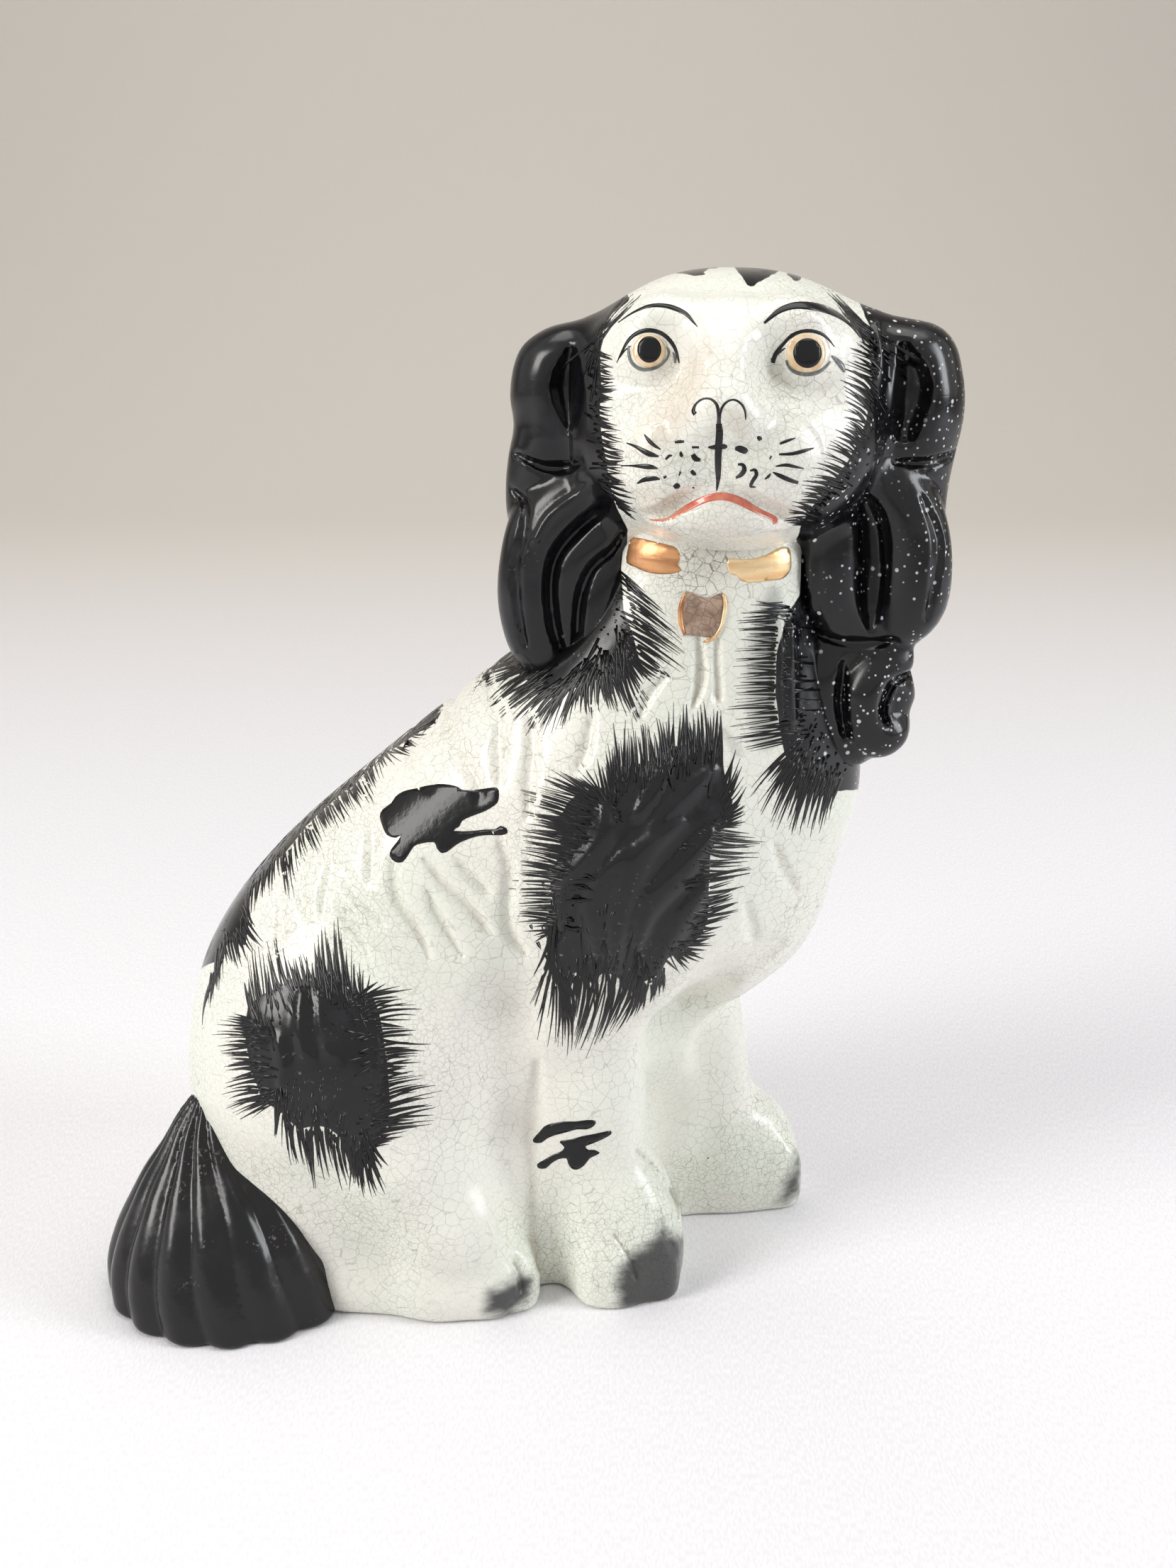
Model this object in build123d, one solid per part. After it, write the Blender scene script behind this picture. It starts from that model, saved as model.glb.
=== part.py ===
from build123d import *
import math
import os

# A seated spaniel in glazed earthenware, pressed in two-part moulds and luted together.
# Millimetres, +Z up. The origin is on the ground under the middle of the figure.
# The dog sits broadside with its breast to +X and turns its face to the display side, -Y.
# "Near" is the display side and "far" the back. "Right" and "left" are the dog's own.

# Body
torso_height = 252.0
torso_length = 190.0
torso_depth = 104.0
torso_centre_y = 8.0
neck_set_forward = 8.0
wall = 5.0

# Haunch and hind foot, on the near side
haunch_length = 92.0
haunch_height = 100.0
haunch_depth = 85.0
haunch_centre_x = -52.0
haunch_centre_y = -7.0
haunch_centre_z = 78.0
foot_length = 66.0
foot_width = 34.0
foot_height = 24.0
foot_centre_x = -26.0
foot_centre_y = -34.5
shin_length = 84.0
shin_width = 36.0
shin_centre_x = -24.0
shin_centre_y = -34.0
shin_centre_z = 36.0
shin_lean = 34.0

# Shoulder, swelling on the near side above the front leg
shoulder_length = 78.0
shoulder_height = 104.0
shoulder_depth = 82.0
shoulder_centre_x = 34.0
shoulder_centre_y = -6.0
shoulder_centre_z = 148.0

# Hollows worked into the body: one between haunch and near leg, one between the front legs
flank_hollow_length = 24.0
flank_hollow_depth = 26.0
flank_hollow_height = 120.0
flank_hollow_y = -46.0
flank_hollow_z = 72.0
chest_hollow_length = 40.0
chest_hollow_depth = 40.0
chest_hollow_height = 130.0
chest_hollow_x = 54.0
chest_hollow_y = -15.0
chest_hollow_z = 30.0

# Front legs; the far one has a web of clay behind it, so its paw is measured with the web
leg_width = 36.0
near_leg_height = 118.0
near_leg_x = 25.5
near_leg_y = -15.0
near_paw_x = 32.5
near_paw_y = -21.0
far_leg_height = 112.0
far_leg_x = 49.5
far_leg_y = 28.5
far_paw_x = 60.0
far_paw_y = 26.0
near_paw_length = 43.0
far_paw_length = 69.0

# Tail
tail_height = 65.0
tail_length = 80.0
tail_depth = 74.0
tail_centre_x = -88.0
tail_centre_y = -24.0

# Head
head_width = 80.0
head_depth = 78.0
head_height = 67.0
skull_height = 70.0
brow_width = 66.0
brow_depth = 52.0
brow_height = 34.0
cheek_width = 36.0
cheek_depth = 48.0
cheek_height = 48.0
head_centre_x = 60.5
head_centre_y = -3.0
head_top = 305.0
muzzle_width = 56.0
muzzle_depth = 44.0
muzzle_height = 38.0
nose_width = 17.0
nose_depth = 30.0
nose_height = 33.0

# Ears
ear_thickness = 22.0
ear_top_y = -3.0
ear_bottom_y = -10.0
right_ear_length = 104.5
right_ear_width = 34.0
left_ear_length = 132.5
left_ear_width = 45.0

# Collar and locket, low relief on the neck
collar_width = 10.0
collar_thickness = 1.6
collar_drop = 1.7
locket_width = 11.0
locket_height = 11.0
locket_thickness = 2.4
locket_corner = 1.5
locket_bail_radius = 3.2
locket_bail_width = 1.4
locket_offset_x = -3.0

# Base slab and the vents that let air out in the kiln
base_thickness = 5.0
base_vent_diameter = 9.0
inner_vent_diameter = 5.0

# Cutting tools reach this far past what they cut
overrun = 20.0

# Each row is one level cut through the body: height, then the middle and the half length
# from front to back, the half depth, how much narrower the front end is than the back end,
# and how far the middle has moved to the neck's place.
torso_shares = (
    (0.000, -0.134, 0.421, 0.442, 0.30, 0.00),
    (0.159, -0.129, 0.421, 0.462, 0.30, 0.00),
    (0.302, -0.118, 0.426, 0.452, 0.25, 0.00),
    (0.413, -0.018, 0.484, 0.442, 0.15, 0.00),
    (0.528, 0.063, 0.453, 0.433, 0.05, 0.00),
    (0.639, 0.160, 0.384, 0.413, 0.00, 0.05),
    (0.734, 0.224, 0.295, 0.365, 0.00, 0.25),
    (0.813, 0.266, 0.210, 0.317, 0.00, 0.65),
    (0.905, 0.292, 0.153, 0.270, 0.00, 1.00),
    (1.000, 0.297, 0.142, 0.250, 0.00, 1.00),
)

# The front legs, each row one level: height, how far the middle has moved from the leg's
# axis to the paw's, half length against the paw's length and half width against the leg's.
near_leg_shares = (
    (0.00, 1.00, 0.47, 0.49),
    (0.11, 1.05, 0.50, 0.53),
    (0.22, 0.90, 0.49, 0.53),
    (0.33, 0.40, 0.42, 0.50),
    (0.45, 0.05, 0.37, 0.48),
    (0.65, -0.05, 0.37, 0.49),
    (0.85, -0.10, 0.39, 0.50),
    (1.00, -0.10, 0.42, 0.50),
)
far_leg_shares = (
    (0.00, 1.00, 0.490, 0.48),
    (0.09, 1.05, 0.500, 0.50),
    (0.18, 1.00, 0.485, 0.49),
    (0.27, 0.60, 0.420, 0.47),
    (0.36, 0.20, 0.345, 0.465),
    (0.54, -0.05, 0.305, 0.475),
    (0.76, 0.00, 0.300, 0.50),
    (1.00, 0.15, 0.270, 0.50),
)

# The tail, each row one level: height, how far the middle leans to the body, half length
# and half depth.
tail_shares = (
    (0.00, 0.00, 0.500, 0.500),
    (0.15, -0.01, 0.495, 0.485),
    (0.31, -0.01, 0.455, 0.450),
    (0.48, -0.01, 0.395, 0.385),
    (0.60, -0.03, 0.325, 0.310),
    (0.71, -0.05, 0.235, 0.245),
    (0.86, -0.07, 0.135, 0.160),
    (1.00, -0.07, 0.050, 0.070),
)

# The ears, each row one level from the top down: drop, distance of the middle from the
# head's middle, half width and half thickness.
right_ear_shares = (
    (0.000, 0.530, 0.120, 0.10),
    (0.065, 0.543, 0.316, 0.38),
    (0.122, 0.578, 0.368, 0.43),
    (0.200, 0.589, 0.388, 0.45),
    (0.300, 0.586, 0.385, 0.45),
    (0.410, 0.594, 0.424, 0.46),
    (0.524, 0.575, 0.479, 0.49),
    (0.610, 0.567, 0.490, 0.50),
    (0.700, 0.594, 0.482, 0.49),
    (0.754, 0.599, 0.474, 0.48),
    (0.830, 0.578, 0.440, 0.46),
    (0.926, 0.582, 0.397, 0.42),
    (0.970, 0.600, 0.270, 0.30),
    (1.000, 0.610, 0.100, 0.12),
)
left_ear_shares = (
    (0.000, 0.490, 0.110, 0.10),
    (0.035, 0.520, 0.242, 0.30),
    (0.080, 0.590, 0.300, 0.40),
    (0.125, 0.633, 0.310, 0.44),
    (0.260, 0.642, 0.325, 0.46),
    (0.350, 0.595, 0.333, 0.46),
    (0.442, 0.540, 0.415, 0.48),
    (0.530, 0.525, 0.470, 0.50),
    (0.600, 0.525, 0.480, 0.50),
    (0.668, 0.520, 0.440, 0.49),
    (0.713, 0.485, 0.370, 0.46),
    (0.780, 0.490, 0.370, 0.45),
    (0.850, 0.500, 0.370, 0.45),
    (0.920, 0.500, 0.325, 0.40),
    (0.970, 0.480, 0.220, 0.30),
    (1.000, 0.470, 0.080, 0.12),
)

# How square the level cuts are: 2 is an ellipse, more is squarer
squareness = 2.4
points_round = 12

# How many steps a form has from its bottom to its top
levels_each = 20


# Shared sizes worked out from the ones above
seam_y = torso_centre_y
neck_y = torso_centre_y - neck_set_forward
neck_x = torso_length * torso_shares[-1][1]
head_centre_z = head_top - head_height / 2
chin_z = head_top - head_height
brow_y = head_centre_y - 0.22 * head_depth
brow_z = head_top - 0.6 * brow_height
cheek_y = head_centre_y - 0.18 * head_depth
cheek_z = chin_z + 0.5 * cheek_height
muzzle_x = head_centre_x - 0.09 * muzzle_width
muzzle_y = head_centre_y - 0.355 * head_depth
muzzle_z = chin_z + 0.55 * muzzle_height
nose_y = muzzle_y - 0.26 * muzzle_depth
nose_z = head_centre_z + 0.07 * head_height
collar_top = chin_z - collar_drop
collar_mid = collar_top - collar_width / 2
span = 2 * (head_top + torso_length + overrun)


def level(height, centre_x, centre_y, half_length, half_depth, narrowing=0.0):
    """One level outline: a rounded oval that is narrower at the front."""
    points = []
    for step in range(points_round):
        turn = 2 * math.pi * step / points_round
        along = math.copysign(abs(math.cos(turn)) ** (2 / squareness), math.cos(turn))
        across = math.copysign(abs(math.sin(turn)) ** (2 / squareness), math.sin(turn))
        x = centre_x + half_length * along
        y = centre_y + half_depth * across * (1 - narrowing * along)
        points.append((x, y, height))
    return Face(Wire([Spline(*points, periodic=True)]))


def oval_ball(length, depth, height, centre, inset=0.0):
    """An ellipsoid, made smaller all round by the inset."""
    radii = (length / 2 - inset, depth / 2 - inset, height / 2 - inset)
    return Pos(*centre) * scale(Sphere(1), by=radii)


def above(height):
    """Everything over one height."""
    return Pos(0, 0, height + span / 2) * Box(span, span, span)


def near_side(y):
    """Everything on the display side of one upright plane."""
    return Pos(0, y - span / 2, 0) * Box(span, span, span)


def far_side(y):
    """Everything on the back side of one upright plane."""
    return Pos(0, y + span / 2, 0) * Box(span, span, span)


def shares_at(table, rise):
    """The shares at one height, read off a smooth curve through the table's rows."""
    low = 0
    while low < len(table) - 2 and rise > table[low + 1][0]:
        low += 1
    start, stop = table[low], table[low + 1]
    before = table[max(low - 1, 0)]
    after = table[min(low + 2, len(table) - 1)]
    step = stop[0] - start[0]
    part = min(max((rise - start[0]) / step, 0), 1)
    values = []
    for column in range(1, len(start)):
        slope_in = step * (stop[column] - before[column]) / (stop[0] - before[0])
        slope_out = step * (after[column] - start[column]) / (after[0] - start[0])
        values.append(
            start[column] * (2 * part**3 - 3 * part**2 + 1)
            + slope_in * (part**3 - 2 * part**2 + part)
            + stop[column] * (3 * part**2 - 2 * part**3)
            + slope_out * (part**3 - part**2))
    return values


def stack(table, place, low=0.0, high=1.0):
    """One solid through many levels; place turns a height and its shares into an outline."""
    levels = []
    for step in range(levels_each + 1):
        rise = low + (high - low) * step / levels_each
        levels.append(place(rise, *shares_at(table, rise)))
    return loft(levels)


def torso_form(grow, past=0.0):
    """The body and neck, grown or shrunk all round and drawn out past both ends."""
    def place(rise, middle, half_length, half_depth, narrowing, forward):
        return level(
            rise * torso_height,
            middle * torso_length,
            torso_centre_y - forward * neck_set_forward,
            half_length * torso_length + grow,
            half_depth * torso_depth + grow,
            narrowing,
        )
    return stack(torso_shares, place, -past / torso_height, 1 + past / torso_height)


def haunch_form(grow):
    """The thigh's swelling on the near side, cut off at the ground."""
    centre = (haunch_centre_x, haunch_centre_y, haunch_centre_z)
    ball = oval_ball(haunch_length, haunch_depth, haunch_height, centre, -grow)
    return ball & above(0)


def shoulder_form(grow):
    """The shoulder's swelling over the near front leg."""
    centre = (shoulder_centre_x, shoulder_centre_y, shoulder_centre_z)
    return oval_ball(shoulder_length, shoulder_depth, shoulder_height, centre, -grow)


def hollows_form(grow):
    """The two hollows beside the near front leg, grown to leave a wall round them."""
    flank_centre = (0, flank_hollow_y, flank_hollow_z)
    chest_centre = (chest_hollow_x, chest_hollow_y, chest_hollow_z)
    flank = oval_ball(
        flank_hollow_length, flank_hollow_depth, flank_hollow_height, flank_centre, -grow)
    chest = oval_ball(
        chest_hollow_length, chest_hollow_depth, chest_hollow_height, chest_centre, -grow)
    return flank + chest


def leg_form(table, height, axis_x, axis_y, paw_x, paw_y, paw_length):
    """One front leg with its paw, flat on the ground."""
    def place(rise, shift, half_length, half_width):
        return level(
            rise * height,
            axis_x + shift * (paw_x - axis_x),
            axis_y + shift * (paw_y - axis_y),
            half_length * paw_length,
            half_width * leg_width,
        )
    return stack(table, place)


def tail_form(length, depth, height, floor):
    """The tail, a mound that leans on the haunch and comes to a point."""
    def place(rise, lean, half_length, half_depth):
        return level(
            floor + rise * height,
            tail_centre_x + lean * length,
            tail_centre_y - lean * depth,
            half_length * length,
            half_depth * depth,
        )
    return stack(tail_shares, place)


def ear_form(table, side, top, length, width, thickness):
    """One hanging ear; side is +1 at the dog's left and -1 at its right."""
    def place(drop, out, half_width, half_thickness):
        return level(
            top - drop * length,
            head_centre_x + side * out * head_width,
            ear_top_y + drop * (ear_bottom_y - ear_top_y),
            half_width * width,
            half_thickness * thickness,
        )
    return stack(table, place)


def head_form(inset):
    """Skull, brow, cheeks, muzzle and nose as one rounded form, made smaller by the inset."""
    skull_centre = (head_centre_x, head_centre_y, head_top - skull_height / 2)
    brow_centre = (head_centre_x - 0.04 * head_width, brow_y, brow_z)
    muzzle_centre = (muzzle_x, muzzle_y, muzzle_z)
    nose_centre = (muzzle_x, nose_y, nose_z)
    head = oval_ball(head_width, head_depth, skull_height, skull_centre, inset)
    head += oval_ball(brow_width, brow_depth, brow_height, brow_centre, inset)
    for side in (-1, 1):
        cheek_x = head_centre_x + side * (head_width - cheek_width) / 2
        cheek_centre = (cheek_x, cheek_y, cheek_z)
        head += oval_ball(cheek_width, cheek_depth, cheek_height, cheek_centre, inset)
    head += oval_ball(muzzle_width, muzzle_depth, muzzle_height, muzzle_centre, inset)
    head += oval_ball(nose_width, nose_depth, nose_height, nose_centre, inset)
    return head


# Solid outer forms, each cut later by the pieces it is luted to
body_outer = torso_form(0) + haunch_form(0) + shoulder_form(0) - hollows_form(0)
body_inner = torso_form(-wall, overrun) + haunch_form(-wall) + shoulder_form(-wall)
body_inner -= hollows_form(wall)
head_outer = head_form(0)
head_inner = head_form(wall)

# The body: two pressings that meet along the outline, open at the neck and at the ground
body_shell = body_outer - body_inner
body_near = body_shell & near_side(seam_y)
body_far = body_shell & far_side(seam_y)

# The base slab fills the ground opening and has a vent through it
base_plate = body_inner & (Pos(0, 0, base_thickness / 2) * Box(span, span, base_thickness))
base_vent = Pos(haunch_centre_x, seam_y, base_thickness / 2) * Cylinder(
    base_vent_diameter / 2, base_thickness + overrun)
base_slab = base_plate - base_vent

# Front legs, hind foot and shin: clay pressed solid and luted against the body wall
near_leg_whole = leg_form(
    near_leg_shares, near_leg_height, near_leg_x, near_leg_y, near_paw_x, near_paw_y,
    near_paw_length)
near_leg = near_leg_whole - body_outer
far_leg_whole = leg_form(
    far_leg_shares, far_leg_height, far_leg_x, far_leg_y, far_paw_x, far_paw_y,
    far_paw_length)
far_leg = far_leg_whole - body_outer - near_leg
foot_centre = (foot_centre_x, foot_centre_y, foot_height / 3)
foot_ball = oval_ball(foot_length, foot_width, foot_height * 4 / 3, foot_centre)
shin_ball = oval_ball(shin_width, shin_width, shin_length, (0, 0, 0))
shin = Pos(shin_centre_x, shin_centre_y, shin_centre_z) * Rot(0, -shin_lean, 0) * shin_ball
hind_foot = ((foot_ball + shin) & above(0)) - body_outer - near_leg

# The tail: a hollow pressing closed below, open to the body wall
tail_outer = tail_form(tail_length, tail_depth, tail_height, 0)
tail_inner = tail_form(tail_length - 2 * wall, tail_depth - 2 * wall, tail_height - 3 * wall, wall)
tail = tail_outer - tail_inner - body_outer - hind_foot

# The head: a face pressing and a back pressing over the neck
head_shell = head_outer - head_inner - body_outer
head_face = head_shell & near_side(head_centre_y)
head_back = head_shell & far_side(head_centre_y)

# Ears: hollow pressings, open where they lie against the head and the shoulder
right_ear_top = head_top - 0.15 * head_height
left_ear_top = head_top - 0.125 * head_height
right_ear_outer = ear_form(
    right_ear_shares, -1, right_ear_top, right_ear_length, right_ear_width, ear_thickness)
right_ear_inner = ear_form(
    right_ear_shares, -1, right_ear_top - wall, right_ear_length - 2 * wall,
    right_ear_width - 2 * wall, ear_thickness - 2 * wall)
left_ear_outer = ear_form(
    left_ear_shares, 1, left_ear_top, left_ear_length, left_ear_width, ear_thickness)
left_ear_inner = ear_form(
    left_ear_shares, 1, left_ear_top - wall, left_ear_length - 2 * wall,
    left_ear_width - 2 * wall, ear_thickness - 2 * wall)
right_ear = right_ear_outer - right_ear_inner - body_outer - head_outer
left_ear = left_ear_outer - left_ear_inner - head_outer - body_outer

# The collar: a thin strap of clay round the front of the neck, from ear to ear
collar_slab = Pos(0, 0, collar_mid) * Box(span, span, collar_width)
collar_form = torso_form(collar_thickness) & collar_slab & near_side(neck_y)
collar = collar_form - body_outer - head_outer - right_ear_outer - left_ear_outer

# The locket: a small plate under the collar on a bail
locket_x = neck_x + locket_offset_x
locket_top = collar_top - collar_width - locket_bail_radius
locket_place = Plane.XZ * Pos(locket_x, locket_top - locket_height / 2)
bail_place = Plane.XZ * Pos(locket_x, locket_top)
locket_outline = locket_place * RectangleRounded(locket_width, locket_height, locket_corner)
bail_outline = bail_place * Circle(locket_bail_radius)
bail_outline -= bail_place * Circle(locket_bail_radius - locket_bail_width)
locket_prism = extrude(locket_outline + bail_outline, amount=span)
locket = (torso_form(locket_thickness) & locket_prism) - body_outer - collar

# Vents through the inner walls let the hollow ears and tail breathe into the body
ear_vent_y = head_centre_y - 0.8 * inner_vent_diameter
ear_vent_z = head_centre_z + 0.1 * head_height
ear_vent = Pos(head_centre_x, ear_vent_y, ear_vent_z) * Rot(0, 90, 0) * Cylinder(
    inner_vent_diameter / 2, 1.2 * head_width)
tail_vent_z = wall + 0.25 * tail_height
tail_vent_length = abs(tail_centre_y - seam_y)
tail_vent = Pos(tail_centre_x + 0.2 * tail_length, (tail_centre_y + seam_y) / 2, tail_vent_z) * (
    Rot(90, 0, 0) * Cylinder(inner_vent_diameter / 2, tail_vent_length))
head_face = head_face - ear_vent
body_near = body_near - tail_vent

pieces = {
    "body_near_pressing": body_near,
    "body_far_pressing": body_far,
    "base_slab": base_slab,
    "near_front_leg": near_leg,
    "far_front_leg": far_leg,
    "near_hind_foot": hind_foot,
    "tail": tail,
    "head_face_pressing": head_face,
    "head_back_pressing": head_back,
    "right_ear": right_ear,
    "left_ear": left_ear,
    "collar": collar,
    "locket": locket,
}

os.makedirs("parts", exist_ok=True)
for name, piece in pieces.items():
    export_step(piece, "parts/" + name + ".step")
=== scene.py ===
import math

import bmesh
import bpy
import numpy as np
import openvdb
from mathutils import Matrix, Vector
from mathutils.bvhtree import BVHTree
from mathutils.geometry import delaunay_2d_cdt


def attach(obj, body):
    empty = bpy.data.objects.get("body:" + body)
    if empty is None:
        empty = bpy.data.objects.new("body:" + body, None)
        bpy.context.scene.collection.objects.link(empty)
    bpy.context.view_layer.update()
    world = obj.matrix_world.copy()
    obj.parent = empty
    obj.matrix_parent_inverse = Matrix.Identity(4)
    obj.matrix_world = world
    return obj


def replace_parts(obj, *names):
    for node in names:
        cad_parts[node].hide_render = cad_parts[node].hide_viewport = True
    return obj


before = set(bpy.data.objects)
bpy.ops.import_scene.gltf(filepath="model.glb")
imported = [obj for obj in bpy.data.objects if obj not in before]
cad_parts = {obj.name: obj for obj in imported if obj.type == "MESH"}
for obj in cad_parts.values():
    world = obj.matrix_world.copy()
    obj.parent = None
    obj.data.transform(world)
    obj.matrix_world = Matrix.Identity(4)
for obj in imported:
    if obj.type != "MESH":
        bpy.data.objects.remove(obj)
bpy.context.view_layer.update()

# Body
# The trunk, legs and feet are one hollow skin of white earthenware, pressed in two halves
# and luted together with slip. Combed waves of fur run down its sides, and a clear crazed
# glaze covers it, with patches of black enamel.

# Every length is in millimetres until a piece is done
metre = 0.001
body_table = (
    # height, middle x, half length, half depth, narrowing to the front, middle y
    (0, -25.5, 80, 46, 0.30, 8),
    (40, -24.5, 80, 48, 0.30, 8),
    (76, -22.5, 81, 47, 0.25, 8),
    (104, -3.5, 92, 46, 0.15, 8),
    (133, 12, 86, 45, 0.05, 8),
    (161, 30.4, 73, 43, 0.00, 7.6),
    (185, 42.5, 56, 38, 0.00, 6),
    (205, 50.5, 40, 33, 0.00, 2.8),
    (228, 55.5, 29, 28, 0.00, 0),
    (252, 56.5, 27, 26, 0.00, 0),
)
body_wall = 5.0
body_squareness = 2.4
body_low, body_high = (-112, -60, -6), (112, 66, 250)
body_grid = 1.1
spine_y = 8.0


class Clay:
    """Clay as a grid of distances to its surface, negative inside, whose forms run together."""

    empty = 60.0
    quick_coarseness = 1.6

    def __init__(self, low, high, step):
        self.low = np.array(low, float)
        self.step = step * 1.0
        counts = np.ceil((np.array(high) - self.low) / self.step).astype(int) + 1
        self.field = np.full(counts, self.empty, np.float32)

    def window(self, low, high):
        """The part of the grid between two corners, and its coordinates."""
        start = np.clip(np.floor((low - self.low) / self.step), 0, None).astype(int)
        stop = np.minimum(np.ceil((high - self.low) / self.step).astype(int) + 1,
                          self.field.shape)
        stop = np.maximum(stop, start)
        axes = [(self.low[i] + self.step * np.arange(start[i], stop[i])).astype(np.float32)
                for i in range(3)]
        cut = tuple(slice(start[i], stop[i]) for i in range(3))
        return cut, axes[0][:, None, None], axes[1][None, :, None], axes[2][None, None, :]

    def everywhere(self):
        high = self.low + self.step * np.array(self.field.shape)
        return self.window(self.low, high)

    def merge(self, cut, shape, blend, take=False):
        """Adds a shape, or takes it away, with a soft edge as wide as the blend."""
        here = self.field[cut]
        shape = -shape if take else shape
        sign = -1 if take else 1
        soft = np.maximum(blend - np.abs(here - shape), 0)
        pick = np.maximum(here, shape) if take else np.minimum(here, shape)
        self.field[cut] = pick - sign * soft * soft / (4 * blend)

    def ball(self, centre, radii, blend, take=False, power=2.0, turn=0.0):
        """An oval mass, squarer as the power rises, turned about the upright axis."""
        centre, radii = np.array(centre, float), np.array(radii, float)
        reach = radii.max() + blend + 2 * self.step
        cut, x, y, z = self.window(centre - reach, centre + reach)
        dx, dy, dz = x - centre[0], y - centre[1], z - centre[2]
        along = dx * math.cos(turn) + dy * math.sin(turn)
        across = -dx * math.sin(turn) + dy * math.cos(turn)
        share = (np.abs(along / radii[0]) ** power + np.abs(across / radii[1]) ** power
                 + np.abs(dz / radii[2]) ** power) ** (1 / power)
        size = np.sqrt(along ** 2 + across ** 2 + dz ** 2)
        shape = size - size / np.maximum(share, 1e-4)
        shape = np.where(share < 1e-3, -radii.min(), shape)
        self.merge(cut, shape, blend, take)

    def limb(self, points, blend, take=False, flat=1.0):
        """A tapering tube through points (x, y, z, radius); flat thins it in y."""
        points = np.array(points, float)
        squeeze = 1 / flat
        for start, stop in zip(points[:-1], points[1:]):
            reach = max(start[3], stop[3]) + blend + 2 * self.step
            low = np.minimum(start[:3], stop[:3]) - reach
            high = np.maximum(start[:3], stop[:3]) + reach
            cut, x, y, z = self.window(low, high)
            line = (stop - start)[:3] * (1, squeeze, 1)
            px, py, pz = x - start[0], (y - start[1]) * squeeze, z - start[2]
            share = (px * line[0] + py * line[1] + pz * line[2]) / max(line @ line, 1e-6)
            share = np.clip(share, 0, 1)
            away = np.sqrt((px - share * line[0]) ** 2 + (py - share * line[1]) ** 2
                           + (pz - share * line[2]) ** 2)
            shape = away - (start[3] + share * (stop[3] - start[3]))
            self.merge(cut, shape * min(flat, 1.0), blend, take)

    def limbs(self, limbs, take=False):
        """Limbs that are each a blend, then points (x, y, z, radius)."""
        for blend, *points in limbs:
            self.limb(points, blend, take)

    def masses(self, masses):
        """Oval masses that are each a centre, radii, a blend and a squareness."""
        for centre, radii, blend, squareness in masses:
            self.ball(centre, radii, blend, power=squareness)

    def stand(self, edge):
        """Cuts the clay flat at the ground, with an edge rounded that much."""
        cut, x, y, z = self.everywhere()
        self.merge(cut, z + 0 * x + 0 * y, edge, take=True)

    def emboss(self, relief, depth=5.0):
        """Raises the surface by a height in millimetres worked out for its points."""
        near = np.abs(self.field) < depth
        points = np.stack(np.nonzero(near), -1) * self.step + self.low
        self.field[near] -= relief(points).astype(np.float32)

    def mesh(self, name, relax=2):
        """The clay's surface as a smooth mesh, still in millimetres."""
        grid = openvdb.FloatGrid(self.empty)
        grid.copyFromArray(self.field)
        points, _, quads = grid.convertToPolygons(isovalue=0.0, adaptivity=0.0)
        mesh = bpy.data.meshes.new(name)
        mesh.from_pydata(points * self.step + self.low, [], quads)
        mesh.update()
        piece = bpy.data.objects.new(name, mesh)
        bpy.context.scene.collection.objects.link(piece)
        smooth = piece.modifiers.new("smooth", "SMOOTH")
        smooth.factor, smooth.iterations = 0.5, relax
        apply_modifiers(piece)
        mesh = piece.data
        mesh.polygons.foreach_set("use_smooth", np.ones(len(mesh.polygons), bool))
        return piece


def apply_modifiers(piece):
    """Makes the piece's modifiers part of its mesh."""
    graph = bpy.context.evaluated_depsgraph_get()
    done = bpy.data.meshes.new_from_object(piece.evaluated_get(graph))
    old = piece.data
    piece.modifiers.clear()
    piece.data = done
    bpy.data.meshes.remove(old)


def corners(mesh):
    """A mesh's points as an array."""
    flat = np.empty(len(mesh.vertices) * 3, np.float32)
    mesh.vertices.foreach_get("co", flat)
    return flat.reshape(-1, 3).astype(float)


def table_at(table, height):
    """The values at each height, read off a smooth curve through a table's rows."""
    table = np.array(table, float)
    rows, values = table[:, 0], table[:, 1:]
    slopes = np.gradient(values, rows, axis=0)
    height = np.clip(height, rows[0], rows[-1])
    low = np.clip(np.searchsorted(rows, height, side="right") - 1, 0, len(rows) - 2)
    step = (rows[low + 1] - rows[low])[:, None]
    part = ((height - rows[low])[:, None]) / step
    return (values[low] * (2 * part ** 3 - 3 * part ** 2 + 1)
            + slopes[low] * step * (part ** 3 - 2 * part ** 2 + part)
            + values[low + 1] * (3 * part ** 2 - 2 * part ** 3)
            + slopes[low + 1] * step * (part ** 3 - part ** 2))


def trunk_field(clay, shrink):
    """The trunk and neck, read level by level and thinner all round by the shrink."""
    cut, x, y, z = clay.everywhere()
    rows = table_at(body_table, z.ravel().astype(float)).astype(np.float32)
    middle_x, half_length, half_depth, narrowing, middle_y = (
        rows[:, i][None, None, :] for i in range(5))
    dx, dy = x - middle_x, y - middle_y
    along = dx / (half_length - shrink)
    taper = 1 - narrowing * np.clip(along, -1, 1)
    across = dy / ((half_depth - shrink) * taper)
    share = (np.abs(along) ** body_squareness
             + np.abs(across) ** body_squareness) ** (1 / body_squareness)
    size = np.sqrt(dx ** 2 + dy ** 2)
    return cut, size - size / np.maximum(share, 1e-3), z


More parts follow.
